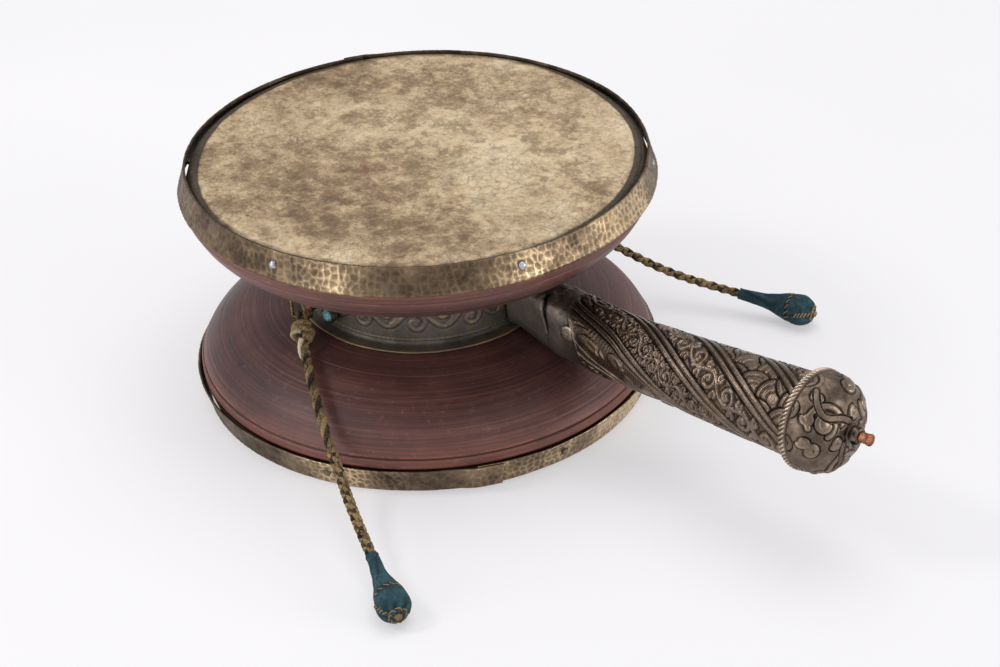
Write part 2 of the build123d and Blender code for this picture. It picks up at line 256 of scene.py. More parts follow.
def piece(name, body, finish, shells, replaces=()):
    """One Blender object from shells of (rings, loop, marks), riding on a body."""
    all_points, all_faces, marks = [], [], {}
    offset = 0
    for rings, loop, mark in shells:
        points, faces = shell(rings, loop, 0)
        if not outward(points - points.mean(0), faces):
            faces = [face[::-1] for face in faces]
        all_points.append(points)
        all_faces += [[i + offset for i in face] for face in faces]
        for key, value in mark.items():
            value = np.asarray(value, float)
            value = np.broadcast_to(value, rings.shape[:2])
            flat = value.ravel()
            if not loop:
                flat = np.concatenate([flat, [value[0].mean(), value[-1].mean()]])
            marks.setdefault(key, []).append(flat)
        offset += len(points)
    mesh = bpy.data.meshes.new(name)
    mesh.from_pydata((np.vstack(all_points) * MM).tolist(), [], all_faces)
    for key, values in marks.items():
        attribute = mesh.attributes.new(key, "FLOAT", "POINT")
        attribute.data.foreach_set("value", np.concatenate(values).astype(np.float32))
    mesh.shade_smooth()
    mesh.materials.append(finish)
    made = bpy.data.objects.new(name, mesh)
    bpy.context.scene.collection.objects.link(made)
    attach(made, body)
    if replaces:
        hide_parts(*replaces)
    return made


# ---- procedural finishes
def rgb(red, green, blue):
    """A display colour, 0 to 255, as Blender's linear values."""
    def one(value):
        value /= 255
        return value / 12.92 if value <= 0.04045 else ((value + 0.055) / 1.055) ** 2.4
    return (one(red), one(green), one(blue), 1.0)


class Finish:
    """A node material, put together one step at a time."""

    def __init__(self, name, **fixed):
        self.made = bpy.data.materials.new(name)
        self.made.use_nodes = True
        self.tree = self.made.node_tree
        self.shader = self.tree.nodes["Principled BSDF"]
        for socket, value in fixed.items():
            self.shader.inputs[socket.replace("_", " ")].default_value = value
        self.place = self.add("ShaderNodeTexCoord").outputs["Object"]

    def add(self, kind, **settings):
        node = self.tree.nodes.new(kind)
        for key, value in settings.items():
            setattr(node, key, value)
        return node

    def feed(self, socket, value):
        """Link a socket to another, or set it; a tuple is a display colour."""
        if isinstance(value, bpy.types.NodeSocket):
            self.tree.links.new(value, socket)
        else:
            socket.default_value = rgb(*value) if isinstance(value, tuple) else value

    def mark(self, name):
        return self.add("ShaderNodeAttribute", attribute_name=name).outputs["Fac"]

    def stretch(self, x, y, z):
        node = self.add("ShaderNodeMapping")
        node.inputs["Scale"].default_value = (x, y, z)
        self.feed(node.inputs["Vector"], self.place)
        return node.outputs["Vector"]

    def join(self, x, y, z):
        node = self.add("ShaderNodeCombineXYZ")
        for socket, value in zip(node.inputs, (x, y, z)):
            self.feed(socket, value)
        return node.outputs["Vector"]

    def parts(self):
        node = self.add("ShaderNodeSeparateXYZ")
        self.feed(node.inputs[0], self.place)
        return node.outputs

    def noise(self, scale, detail=4.0, roughness=0.55, distortion=0.0, vector=None):
        node = self.add("ShaderNodeTexNoise")
        self.feed(node.inputs["Vector"], vector or self.place)
        for key, value in (("Scale", scale), ("Detail", detail), ("Roughness", roughness),
                           ("Distortion", distortion)):
            node.inputs[key].default_value = value
        return node.outputs["Fac"]

    def add_noise(self, scale, amount):
        """The place, pushed about by a noise so that straight patterns wander."""
        node = self.add("ShaderNodeTexNoise")
        self.feed(node.inputs["Vector"], self.place)
        node.inputs["Scale"].default_value = scale
        push = self.add("ShaderNodeVectorMath", operation="SCALE")
        self.feed(push.inputs[0], node.outputs["Color"])
        push.inputs["Scale"].default_value = amount
        total = self.add("ShaderNodeVectorMath", operation="ADD")
        self.feed(total.inputs[0], self.place)
        self.feed(total.inputs[1], push.outputs[0])
        return total.outputs[0]

    def cells(self, scale, vector=None, feature="F1"):
        node = self.add("ShaderNodeTexVoronoi", feature=feature)
        self.feed(node.inputs["Vector"], vector or self.place)
        node.inputs["Scale"].default_value = scale
        return node.outputs["Distance"]

    def ramp(self, fac, *stops):
        node = self.add("ShaderNodeValToRGB")
        self.feed(node.inputs["Fac"], fac)
        while len(node.color_ramp.elements) < len(stops):
            node.color_ramp.elements.new(0.5)
        for element, (position, *shade) in zip(node.color_ramp.elements, stops):
            element.position = position
            element.color = rgb(*shade)
        return node.outputs["Color"]

    def mix(self, fac, one, other):
        node = self.add("ShaderNodeMix", data_type="RGBA")
        for key, value in ((0, fac), (6, one), (7, other)):
            self.feed(node.inputs[key], value)
        return node.outputs[2]

    def tint(self, colour, shade, fac, share=1.0):
        """A share of another shade laid over a colour where fac says."""
        return self.mix(fac if share == 1.0 else self.times(fac, share), colour, shade)

    def calc(self, operation, one, other=0.0):
        node = self.add("ShaderNodeMath", operation=operation)
        for socket, value in zip(node.inputs, (one, other)):
            self.feed(socket, value)
        return node.outputs[0]

    def patches(self, low, high, *noise):
        """0 to 1 where a noise goes from low to high."""
        return self.span(self.noise(*noise), low, high)

    def weigh(self, *pairs):
        """The sum of some values, each times its share."""
        total = None
        for value, share in pairs:
            part = value if share == 1.0 else self.times(value, share)
            total = part if total is None else self.plus(total, part)
        return total

    def times(self, one, other):
        return self.calc("MULTIPLY", one, other)

    def plus(self, one, other):
        return self.calc("ADD", one, other)

    def less(self, one, other):
        return self.calc("SUBTRACT", one, other)

    def span(self, value, low, high, to_low=0.0, to_high=1.0):
        node = self.add("ShaderNodeMapRange", clamp=True)
        for socket, entry in zip(node.inputs, (value, low, high, to_low, to_high)):
            self.feed(socket, entry)
        return node.outputs["Result"]

    def bump(self, height, depth):
        node = self.add("ShaderNodeBump")
        node.inputs["Strength"].default_value = 1.0
        node.inputs["Distance"].default_value = depth
        self.feed(node.inputs["Height"], height)
        return node.outputs["Normal"]

    def close(self, colour, roughness=None, normal=None):
        self.feed(self.shader.inputs["Base Color"], colour)
        if roughness is not None:
            self.feed(self.shader.inputs["Roughness"], roughness)
        if normal is not None:
            self.feed(self.shader.inputs["Normal"], normal)
        return self.made


def yarn_finish(name, dark, mid, light, pale):
    """Twisted fibres that follow a tube's own length and girth."""
    f = Finish(name, Specular_IOR_Level=0.25, Sheen_Weight=0.3, Sheen_Roughness=0.5,
               Sheen_Tint=rgb(*light))
    lengthwise = f.mark("lengthwise")
    twist = f.times(lengthwise, 0.9)
    fibres = f.join(
        f.plus(f.times(f.mark("round_x"), 2.6), twist),
        f.less(f.times(f.mark("round_y"), 2.6), twist),
        f.mark("strand"),
    )
    fine = f.noise(1.6, 5.0, 0.65, 0.4, fibres)
    patch = f.noise(160.0, 3.0, 0.6)
    shade = f.weigh((fine, 0.70), (patch, 0.30), (f.mark("tone"), 1.0))
    colour = f.ramp(shade, (0.38, *dark), (0.48, *mid), (0.60, *light))
    colour = f.tint(colour, pale, f.mark("pale"), 0.85)
    grime = f.patches(0.45, 0.72, 60.0, 4.0, 0.6)
    colour = f.tint(colour, dark, grime, 0.45)
    hair = f.noise(1400.0, 3.0, 0.7, 0.8)
    height = f.plus(fine, f.times(hair, 0.5))
    return f.close(colour, f.span(shade, 0.2, 0.8, 0.95, 0.75), f.bump(height, 0.0005))


def grained(name, grain, stops, shine, depth, spots=None, **fixed):
    """A finish of one grain, from dark to light, with spots of another shade."""
    f = Finish(name, **fixed)
    speck = f.noise(*grain)
    colour = f.ramp(speck, *stops)
    if spots:
        shade, patches, share = spots
        colour = f.tint(colour, shade, f.patches(*patches), share)
    return f.close(colour, f.span(speck, 0.3, 0.7, *shine), f.bump(speck, depth))


cord_finish = yarn_finish(
    "cord_yarn", (24, 20, 17), (82, 67, 50), (176, 148, 104), (240, 226, 196)
)

# ---- cords: the routes of part.py, and the ropes that follow them
CORD_ROUTES = {
    "front": (
        (-2.9, -75.7, 46.5), (14.4, -88.0, 44.0), (29.4, -97.6, 38.5), (43.5, -104.9, 28.5),
        (58.4, -111.9, 18.5), (80.06, -124.24, 14.2), (103.86, -136.64, 11.15),
    ),
    "rear": (
        (-2.9, 75.7, 46.5), (7.5, 87.0, 43.5), (19.0, 98.0, 36.5), (31.0, 108.5, 26.5),
        (46.0, 117.0, 18.5), (63.96, 124.8, 13.86), (86.06, 133.74, 11.15),
    ),
}
ROPE_CHANGE = {"front": 0.50, "rear": 0.36}     # where the twist gives way to a braid
ROPE_OVERLAP = 1.5
STRAND_TONES = (-0.10, 0.05, 0.0, 0.04)


def route_line(name, route):
    """The smooth line of a cord, read from a NURBS curve without any thickness."""
    curve = bpy.data.curves.new(name, "CURVE")
    curve.dimensions = "3D"
    curve.resolution_u = 40
    spline = curve.splines.new("NURBS")
    spline.points.add(len(route) - 1)
    for point, corner in zip(spline.points, route):
        point.co = (*(Vector(corner) * MM), 1)
    spline.order_u = 3
    spline.use_endpoint_u = True
    holder = bpy.data.objects.new(name, curve)
    mesh = bpy.data.meshes.new_from_object(holder)
    line = np.array([vertex.co for vertex in mesh.vertices]) / MM
    bpy.data.objects.remove(holder)
    bpy.data.meshes.remove(mesh)
    return line


def rope_strands(line, reach, start, end, count, strand, helix, pitch, braid, seed):
    """Strands laid round a line between two reaches, twisted or braided."""
    keep = (reach >= start) & (reach <= end)
    path, along_line = line[keep], reach[keep]
    _, side, up = transport(path)
    made = []
    for index in range(count):
        way = -1 if braid and index % 2 else 1
        angle = way * TAU * along_line / pitch + index * TAU / count
        lift = helix
        if braid:
            lift = helix + 0.26 * way * np.cos(2 * TAU * along_line / pitch)
        lift = lift + 0.10 * noise(along_line + 31 * index, 5.0, seed)
        taper = smooth(along_line, start - 0.01, start + ROPE_OVERLAP)
        taper = taper * smooth(-along_line, -end - 0.01, ROPE_OVERLAP - end)
        centre = moved(path, (lift * np.cos(angle), side), (lift * np.sin(angle), up))
        size = strand * (1 + 0.07 * noise(along_line + 17 * index, 3.0, seed + 5))
        size = size * (0.72 + 0.28 * taper)
        own = 9.0 * float(lattice(np.array(index), np.array(seed), np.array(3), 7))
        made.append(yarn(centre, size, own, STRAND_TONES[index % 4], twist=(14, 0.16, 4, 5.0)))
    return made


cord_lines = {}
for name, route in CORD_ROUTES.items():
    line, reach = resample(route_line(f"{name}_route", route), 0.4)
    change = reach[-1] * ROPE_CHANGE[name]
    shells = rope_strands(
        line, reach, 0.0, change + ROPE_OVERLAP, 3, 1.18, 1.12, 15.0, False, 11
    )
    shells += rope_strands(
        line, reach, change - ROPE_OVERLAP, reach[-1], 4, 1.08, 1.18, 11.5, True, 23
    )
    shells[0][2]["pale"] = 0.75 * smooth(-shells[0][2]["lengthwise"], -13.0, -7.0)
    rope = piece(
        f"{name}_rope", f"{name}_striker", cord_finish, shells, [f"{name}_cord"]
    )
    cord_lines[name] = (line, reach, rope)

# ---- knots: turns of yarn wound round the wire loop and round themselves
LOOP_FOOT = {"front": np.array([-15.6, -64.2, 50.2]), "rear": np.array([-15.6, 64.2, 50.2])}
WIRE = {"front": np.array([0.819152, 0.573576, 0]), "rear": np.array([0.819152, -0.573576, 0])}
KNOT_MIDDLE, KNOT_HALF_LENGTH, KNOT_GIRTH = 10.0, 7.3, 5.7


def knot_girth(where):
    """The knot's half thickness at a distance from the wire."""
    share = (where - KNOT_MIDDLE) / KNOT_HALF_LENGTH
    return KNOT_GIRTH * np.sqrt(np.clip(1 - share**2, 0.05, 1))


for name, foot in LOOP_FOOT.items():
    wire, start = WIRE[name], np.array(CORD_ROUTES[name][0])
    hand = 1 if name == "front" else -1
    reach = np.linalg.norm(start - foot)
    axis = (start - foot) / reach
    across = np.cross(axis, wire)
    across /= np.linalg.norm(across)
    level = np.cross(across, axis)
    shells = []

    def strand(path, radius, own, pale=0.0, tone=0.02):
        path, _ = resample(path, 0.35)
        radius = np.atleast_1d(radius)
        radius = np.interp(np.linspace(0, 1, len(path)), np.linspace(0, 1, len(radius)), radius)
        shells.append(yarn(path, radius, own, tone, pale))

    # two eyes side by side on the wire, each running down into the body
    for index, shift in enumerate((-1.15, 1.15)):
        t = np.linspace(-0.62, 0.62, 60) * math.pi
        eye = foot + shift * wire * (1 + 0.16 * t[:, None] ** 2)
        eye = eye - 1.93 * (np.cos(t)[:, None] * axis) + 1.95 * (np.sin(t)[:, None] * across)
        tail = foot + 8 * axis + shift * 1.5 * wire
        ends, backs = (
            [eye[end] * (1 - s) + (tail + way * across * 1.2) * s
             for s in np.linspace(0.15, 1, 12)]
            for end, way in ((0, -1), (-1, 1))
        )
        strand(np.vstack([ends[::-1], eye, backs]), 0.94, 2.0 + index)
    # the wound body, fat in the middle, with a second, slacker layer across it
    t = np.linspace(0, 1, 220)
    angle = hand * TAU * 2.15 * t + 0.6
    where = 7.2 + 7.3 * t + 0.8 * np.sin(angle + 0.8)
    girth = knot_girth(where) - 1.70
    winding = moved(
        foot, (where, axis), (girth * np.cos(angle), level), (girth * np.sin(angle), across)
    )
    strand(winding, 1.78 + 0.10 * noise(t * 40, 6, 3), 5.0, tone=0.04)
    t = np.linspace(0, 1, 140)
    angle = -hand * TAU * 0.55 * t - 1.2
    where = 8.7 + 5.2 * t
    girth = knot_girth(where) - 0.75
    loose = moved(
        foot, (where, axis), (girth * np.cos(angle), level), (girth * np.sin(angle), across)
    )
    strand(loose, 1.10, 6.5, 0.35)
    # the heart of the knot, so that no light comes through between the turns; its darker tone
    # is painted shade in the gaps between them
    t = np.linspace(0, 1, 40)
    heart = 3.2 * np.sqrt(np.clip(4.4 * t * (1.08 - t), 0.2, 1))
    strand(foot + (5.0 + 11.2 * t)[:, None] * axis, heart, 8.0, tone=-0.09)
    # a pale end that winds out of the knot onto the rope
    line, reach_on, rope = cord_lines[name]
    keep = reach_on < 9.5
    _, side, up = transport(line[keep])
    angle = hand * (-1.3 + reach_on[keep] * 0.21)
    pale = line[keep] + 2.15 * (np.cos(angle)[:, None] * side + np.sin(angle)[:, None] * up)
    strand(pale, np.linspace(1.25, 0.75, len(pale)), 1.0, 1.0)
    knot = piece(
        f"{name}_wound_knot", f"{name}_striker", cord_finish, shells, [f"{name}_knot"]
    )
    cord_lines[name] = (line, reach_on, rope, knot)

# ---- striker heads: cloth drawn over a bead, gathered at the tip and sewn
f = Finish("dyed_cloth", Specular_IOR_Level=0.3, Sheen_Weight=0.25, Sheen_Roughness=0.6,
           Sheen_Tint=rgb(120, 170, 180))
warp = f.calc("SINE", f.times(f.mark("lengthwise"), 11.0))
weft = f.calc("SINE", f.times(f.mark("turn"), 74.0))
cloth = f.plus(f.times(warp, weft), f.noise(1500.0, 3.0, 0.7))
fade = f.noise(190.0, 5.0, 0.62, 0.3)
colour = f.ramp(fade, (0.30, 16, 34, 42), (0.48, 34, 64, 75), (0.68, 62, 102, 110))
worn = f.span(f.mark("fold"), 0.3, 1.0)
colour = f.tint(colour, (72, 138, 150), worn, 0.40)
# painted shade: near black where the fold mark runs low, in creases, along the side seam and
# sewn line, and on the lining inside the neck
colour = f.tint(colour, (5, 22, 30), f.span(f.mark("fold"), -0.1, -0.9))
speck = f.patches(0.66, 0.74, 700.0, 2.0, 0.5)
colour = f.tint(colour, (120, 160, 160), speck, 0.45)
cloth_finish = f.close(colour, f.span(fade, 0.2, 0.8, 0.95, 0.8), f.bump(cloth, 0.00025))
thread_finish = yarn_finish(
    "sewing_thread", (84, 62, 38), (140, 106, 68), (184, 150, 106), (214, 190, 150)
)

BALL_R, NECK_TO_BALL, LINING_R = 7.7, 30.0, 2.15
STEM_REACH = (-1.2, 0, 4, 12, 18, 24, 28)
STEM_GIRTH = (2.95, 2.75, 2.85, 3.5, 5.0, 6.9, 7.55)
RING_STITCHES = 15
BALLS = {"front": np.array([130.3, -150.4, 7.75]), "rear": np.array([113.7, 144.9, 7.75])}


def around(neck, axis, level, lift, reach, radius, turn):
    """A point on a striker from its reach past the neck, its girth and its angle."""
    return moved(
        neck, (reach, axis), (radius * np.cos(turn), level), (radius * np.sin(turn), lift)
    )


def pouch_radius(reach, turn, seed):
    """The cloth's girth along a striker, with its gathers, and how folded it is."""
    ball = BALL_R * np.sqrt(np.clip(1 - ((reach - NECK_TO_BALL) / BALL_R) ** 2, 0, 1))
    stem = np.interp(reach, STEM_REACH, STEM_GIRTH)
    size = np.where(reach < 28.2, stem, ball)
    near_tip = smooth(reach, 31.5, 37.3)
    on_stem = smooth(-reach, -26, -13) * (1 - 0.6 * smooth(-reach, -4, 0))
    wander = turn + 0.05 * reach + 0.3 * np.sin(turn + seed)
    fold = np.cos(7 * wander + seed) * 0.6 + np.cos(4 * wander + 2 * seed) * 0.4
    pleat = -np.abs(np.sin(5 * wander + 0.5 * seed)) * 2 + 1
    size = size + fold * on_stem * 0.34 + pleat * near_tip * 0.30
    sewn = dip(reach - 24.5 - 0.7 * np.sin(2 * turn + seed), 0.9)
    seam = dip((turn + 0.06 * reach - 2.6) % TAU - math.pi, 0.10) * smooth(reach, 4, 26)
    size = size - 0.45 * sewn - 0.35 * seam
    # the marks run low in creases, the side seam and the sewn line, where the finish paints
    # shade
    marks = fold * on_stem * 0.8 + pleat * near_tip - 1.2 * seam - 1.1 * sewn
    return size, marks


for number, (name, ball) in enumerate(BALLS.items()):
    neck = np.array(CORD_ROUTES[name][-1])
    axis = (ball - neck) / np.linalg.norm(ball - neck)
    level = np.cross(axis, (0, 0, 1))
    level /= np.linalg.norm(level)
    lift = np.cross(level, axis)
    seed = 1.3 + 2.1 * number
    reach, turn = np.broadcast_arrays(np.concatenate([
        np.linspace(-1.2, 28, 90), NECK_TO_BALL + BALL_R * np.sin(np.linspace(-0.2, 1.50, 46))
    ])[:, None], full_turn(120))
    fray = 0.45 * noise(on_circle(turn[:1]) * 3, 0.5, 5)
    reach = reach + fray * smooth(-reach, 0.2, 1.2)
    radius, fold = pouch_radius(reach, turn, seed)
    wrinkle = noise(around(neck, axis, level, lift, reach, radius, turn), 3.2, 9, 2)
    radius = radius + 0.10 * wrinkle
    outer = around(neck, axis, level, lift, reach, radius, turn)
    inner_reach, inner_turn = np.broadcast_arrays(np.linspace(6.0, -1.0, 8)[:, None], turn[:1])
    inner = around(
        neck, axis, level, lift, inner_reach, LINING_R + 0 * inner_reach, inner_turn
    )
    rings = np.vstack([inner, outer])
    # the lining's fold mark of -0.6 gives it painted shade inside the neck
    marks = {
        "lengthwise": np.vstack([inner_reach, reach]),
        "turn": turn[:1],
        "fold": np.vstack([0 * inner_reach - 0.6, fold + 0.35 * wrinkle]),
    }
    cover = piece(f"{name}_cloth_cover", f"{name}_striker", cloth_finish,
                  [(rings, False, marks)], [f"{name}_striker_cover"])

    # threads: a running stitch round the ball's start, a sewn tip and a side seam
    shells = []

    def stitch(reaches, turns, proud=0.22, thick=0.27):
        t = np.linspace(0, 1, 14)
        r = reaches[0] + (reaches[1] - reaches[0]) * t
        a = turns[0] + (turns[1] - turns[0]) * t
        size, _ = pouch_radius(r, a, seed)
        size = size + proud * np.sin(math.pi * t) ** 0.5 + 0.05
        path = around(neck, axis, level, lift, r, size, a)
        shells.append(yarn(path, thick, 1.0, pale=0.3, twist=(7, 0.1, 3, 1.6)))

    for index in range(RING_STITCHES):
        a = index * TAU / RING_STITCHES
        r = 24.5 + 0.7 * math.sin(2 * a + seed)
        slip = 0.25 * math.sin(5.0 * index + seed)
        stitch((r - 0.7 + slip, r + 0.8 - slip), (a, a + 0.30))
    for index in range(5):
        a = 2.6 + math.pi + index * 0.05 + 0.7
        stitch((29.0 + 1.5 * index, 29.9 + 1.5 * index), (a - 0.16, a + 0.13), 0.3, 0.33)
    for index in range(7):
        a = index * 0.9 + seed
        stitch((36.4 + 0.12 * (index % 3), 37.0), (a, a + 0.9 + 0.2 * (index % 2)), 0.35, 0.3)
    t = np.linspace(0, 1, 60)
    knotting = around(neck, axis, level, lift, 37.4 + 0.9 * t, 1.5 - 1.0 * t, TAU * 2.4 * t)
    shells.append(yarn(knotting, 0.42, 2.0, pale=0.2, twist=(8, 0.1, 3, 1.8)))
    thread = piece(f"{name}_stitches", f"{name}_striker", thread_finish, shells)

    line, reach_on, rope, knot = cord_lines[name]

# ---- turned bowls
DRUM_H, HOOP_H, HOOP_R, MOUTH_R = 116.4, 12.4, 110.0, 106.3
MID_Z = DRUM_H / 2
BOWL_R, BOWL_RISE, BOWL_WALL, NECK_R = 108.7, 31.0, 7, 53.0
CROWN_R, BORE_R, RIM_IN = 47.5, 38.0, 99.5
# turned grooves and lines worn bare: reach along the outline, and a groove's depth
GROOVES = ((11.5, 0.35), (21.0, 0.2), (33.0, 0.3), (47.5, 0.22), (58.0, 0.28), (70.0, 0.3))
BARE_LINES = (2.2, 5.3, 7.6, 33.4)


def hoop_outer(height):
    """A hoop's outer radius at a height over its mouth edge."""
    return MOUTH_R + (HOOP_R - MOUTH_R) * height / HOOP_H


def even(points, gap):
    """A closed flat outline with evenly spaced points, and their distance along it."""
    solid = np.vstack([points, points[:1]])
    reach = reach_of(solid)
    at = np.arange(0, reach[-1], gap)
    return np.stack([np.interp(at, reach, solid[:, k]) for k in range(2)], -1), at


def mirror_z(rings):
    """The same rings, turned upside down about the drum's middle."""
    flipped = rings.copy()
    flipped[..., 2] = DRUM_H - flipped[..., 2]
    return flipped


def lower_and_upper(name, finish, node, loop, lower, upper):
    """Two like pieces at the drum's two mouths, from (rings, marks) made mouth down."""
    for level, (rings, marks) in (("lower", lower), ("upper", (mirror_z(upper[0]), upper[1]))):
        piece(f"{level}_{name}", "drum", finish, [(rings, loop, marks)],
              [f"{level}_{node}"])


f = Finish("turned_wood", Specular_IOR_Level=0.42, Coat_Weight=0.12, Coat_Roughness=0.35)
turned = f.mark("turned")
across = f.parts()
ring_lines = f.join(turned, f.times(across[0], 9.0), f.times(across[1], 9.0))
broad_lines = f.join(f.times(turned, 0.14), f.times(across[0], 5.0), f.times(across[1], 5.0))
fine = f.noise(1.7, 4.0, 0.6, 0.0, ring_lines)
broad = f.noise(1.0, 3.0, 0.55, 0.0, broad_lines)
cloud = f.noise(14.0, 5.0, 0.6)
shade = f.weigh((fine, 0.36), (broad, 0.22), (cloud, 0.48))
colour = f.ramp(
    shade, (0.38, 44, 28, 27), (0.49, 74, 45, 41), (0.58, 92, 57, 52),
    (0.70, 124, 82, 73),
)
redder = f.times(f.mark("worn"), 0.34)
colour = f.tint(colour, (122, 70, 57), redder)
line_wear = f.times(f.mark("bare"), f.patches(0.42, 0.56, 60.0, 5.0, 0.75))
colour = f.tint(colour, (172, 98, 66), line_wear, 0.6)
scuff = f.noise(1.0, 5.0, 0.65, 0.0, f.join(
    f.times(turned, 1.5), f.times(across[0], 30.0),
    f.times(across[1], 30.0),
))
colour = f.tint(colour, (196, 160, 146), f.span(scuff, 0.66, 0.78), 0.55)
dust = f.patches(0.60, 0.76, 320.0, 3.0, 0.6)
colour = f.tint(colour, (170, 130, 118), dust, 0.22)
# painted shade: near black in the groove by the hoop, near the waist under the band's flange
# and at the edge under the hoop
colour = f.tint(colour, (26, 13, 12), f.span(f.mark("deep"), 0.15, 1.0))
height = f.plus(fine, f.times(f.noise(900.0, 3.0), 0.25))
wood_finish = f.close(colour, f.span(shade, 0.35, 0.7, 0.38, 0.52), f.bump(height, 0.00022))


def bowl(seed):
    """Rings of a turned bowl with its mouth down, and the marks its finish reads."""
    def quarter(centre_r, end_r, rise, start, end, points):
        sweep = np.linspace(start, end, points)
        return np.stack([
            centre_r + (end_r - centre_r) * np.cos(sweep), HOOP_H + rise * np.sin(sweep)
        ], -1)

    at_waist = math.acos((NECK_R - CROWN_R) / (BOWL_R - CROWN_R))
    outside = quarter(CROWN_R, BOWL_R, BOWL_RISE, math.asin(5.6 / BOWL_RISE), at_waist, 90)
    hollow = quarter(BORE_R, RIM_IN, BOWL_RISE - BOWL_WALL, math.pi / 2, 0, 16)
    outline = np.vstack([
        [(hoop_outer(HOOP_H) - 2.1, HOOP_H), (BOWL_R, HOOP_H + 0.6),
         (BOWL_R + 0.1, HOOP_H + 4.0), (BOWL_R - 0.3, HOOP_H + 4.6),
         (BOWL_R - 1.5, HOOP_H + 5.1)],
        outside, [(NECK_R, MID_Z), (BORE_R, MID_Z)], hollow,
        [(RIM_IN, 2.0), (hoop_outer(2.0) - 2.1, 2.0)],
    ])
    profile, reach = even(outline, 0.42)
    keep = reach < 100
    coarse = (~keep) & (np.arange(len(reach)) % 12 == 0)
    profile, reach = profile[keep | coarse], reach[keep | coarse]
    rings, _ = revolve(profile, 300)
    radius = np.hypot(rings[..., 0], rings[..., 1])
    shown = ((reach > 1.5) & (reach < 92))[:, None] * 1.0
    cut = 0.10 * noise(reach, 1.6, seed, 2) + 0.10 * noise(reach, 5.5, seed + 3)
    for groove, depth in GROOVES:
        cut = cut - depth * dip(reach - groove - 0.8 * seed, 0.35)
    wave = noise(rings * FLAT, 60, seed + 8)
    push = (cut[:, None] + 0.22 * wave) * shown
    swell(rings, 1 + push / np.clip(radius, 30, None))
    rings[..., 2] += 0.5 * push * smooth(-radius, -104, -70)
    rim = dip(radius - BOWL_R, 2.2) * (rings[..., 2] < 18)
    rim = rim + 0.8 * dip(reach[:, None] - 9.0, 3.4)
    bare = sum(dip(reach[:, None] - spot, 0.4) for spot in BARE_LINES)
    bare = bare * np.where(reach[:, None] > 20, 0.5, 1.0)
    bare = bare * (0.75 + 0.5 * noise(rings * FLAT, 16, seed + 30, 2))
    # painted shade marks: the groove by the hoop, the neck under the waist band and the edge
    # under the hoop
    deep = dip(reach[:, None] - 5.9, 0.5) + smooth(-radius, -60, -52) * 0.5
    deep = deep + (reach[:, None] < 1.0)
    turned_at = reach[:, None] + 40 * seed
    return rings, {"turned": turned_at, "worn": rim, "bare": bare, "deep": deep}


lower_and_upper("turned_bowl", wood_finish, "bowl", True, bowl(1), bowl(2))

# ---- hide heads
f = Finish("rawhide", Specular_IOR_Level=0.3, Subsurface_Weight=0.06,
           Subsurface_Radius=(0.003, 0.0015, 0.0008))
cloud = f.noise(12.0, 10.0, 0.70, 0.1)
blotch = f.noise(60.0, 9.0, 0.80, 0.15)
grain = f.noise(420.0, 5.0, 0.7, 0.3)
pores = f.cells(1100.0)
crackle = f.span(f.cells(240.0, f.add_noise(120.0, 0.006), "DISTANCE_TO_EDGE"), 0.0, 0.10)
mottle = f.less(f.noise(150.0, 8.0, 0.85), 0.34)
shade = f.weigh((cloud, 0.46), (blotch, 0.38), (grain, 0.06), (mottle, 0.46))
shade = f.less(shade, f.times(f.mark("stain"), 0.085))
colour = f.ramp(
    shade, (0.30, 80, 63, 49), (0.40, 124, 102, 78), (0.45, 158, 134, 104),
    (0.50, 190, 166, 132), (0.58, 212, 191, 157), (0.69, 224, 209, 181),
)
patchy = f.patches(0.46, 0.62, 24.0, 4.0, 0.6)
cracked = f.times(f.less(1.0, crackle), patchy)
colour = f.tint(colour, (98, 78, 56), cracked, 0.30)
spots = f.patches(0.54, 0.64, 120.0, 7.0, 0.75, 0.4)
spots = f.times(spots, f.patches(0.44, 0.60, 20.0, 3.0, 0.5, 0.4))
colour = f.tint(colour, (96, 80, 62), spots, 0.60)
flecks = f.patches(0.535, 0.585, 330.0, 6.0, 0.85)
colour = f.tint(colour, (88, 68, 46), f.times(flecks, f.span(blotch, 0.62, 0.42, 0.1, 0.55)))
crisp = f.patches(0.50, 0.45, 85.0, 9.0, 0.85, 0.2)
crisp = f.times(crisp, f.span(cloud, 0.58, 0.46, 0.0, 0.6))
colour = f.tint(colour, (112, 90, 66), crisp)
streak = f.times(f.mark("scar"), f.patches(0.40, 0.56, 160.0, 6.0, 0.75))
colour = f.tint(colour, (112, 70, 58), streak, 0.75)
veins = f.calc("ABSOLUTE", f.less(f.noise(22.0, 7.0, 0.7, 0.4), 0.5))
colour = f.tint(colour, (112, 90, 64), f.span(veins, 0.010, 0.0), 0.30)
# painted shade: near black at the rim, where the head turns down inside its hoop, widest where
# it has drawn in
colour = f.tint(colour, (34, 26, 19), f.span(f.mark("edge"), 0.3, 1.1), 0.90)
height = f.weigh((grain, 0.8), (pores, 0.35), (f.span(veins, 0.0, 0.05), 0.6))
height = f.plus(f.less(height, f.times(cracked, 0.6)), f.times(blotch, 1.2))
hide_finish = f.close(colour, f.span(cloud, 0.3, 0.7, 0.68, 0.52), f.bump(height, 0.00045))

# darker patches: x, y, radius and strength
STAINS = (
    (-92, -12, 34, 1.0), (-60, -55, 30, 0.6), (-86, 38, 26, 0.9), (-8, -78, 34, 0.5),
    (58, -46, 30, 0.4), (22, 88, 28, 0.45), (-30, 60, 22, 0.5), (8, -8, 20, 0.35),
    (12, -66, 26, 0.6), (40, -60, 18, 0.4), (-42, -20, 20, 0.45), (74, 34, 22, -0.4),
    (22, 30, 34, -0.7), (-20, 20, 22, -0.5),
)
# where the head has drawn in from its hoop: direction, spread and distance
SLACK = ((38, 26, 2.0), (74, 18, 1.4), (-140, 24, 1.9), (-175, 20, 1.2))


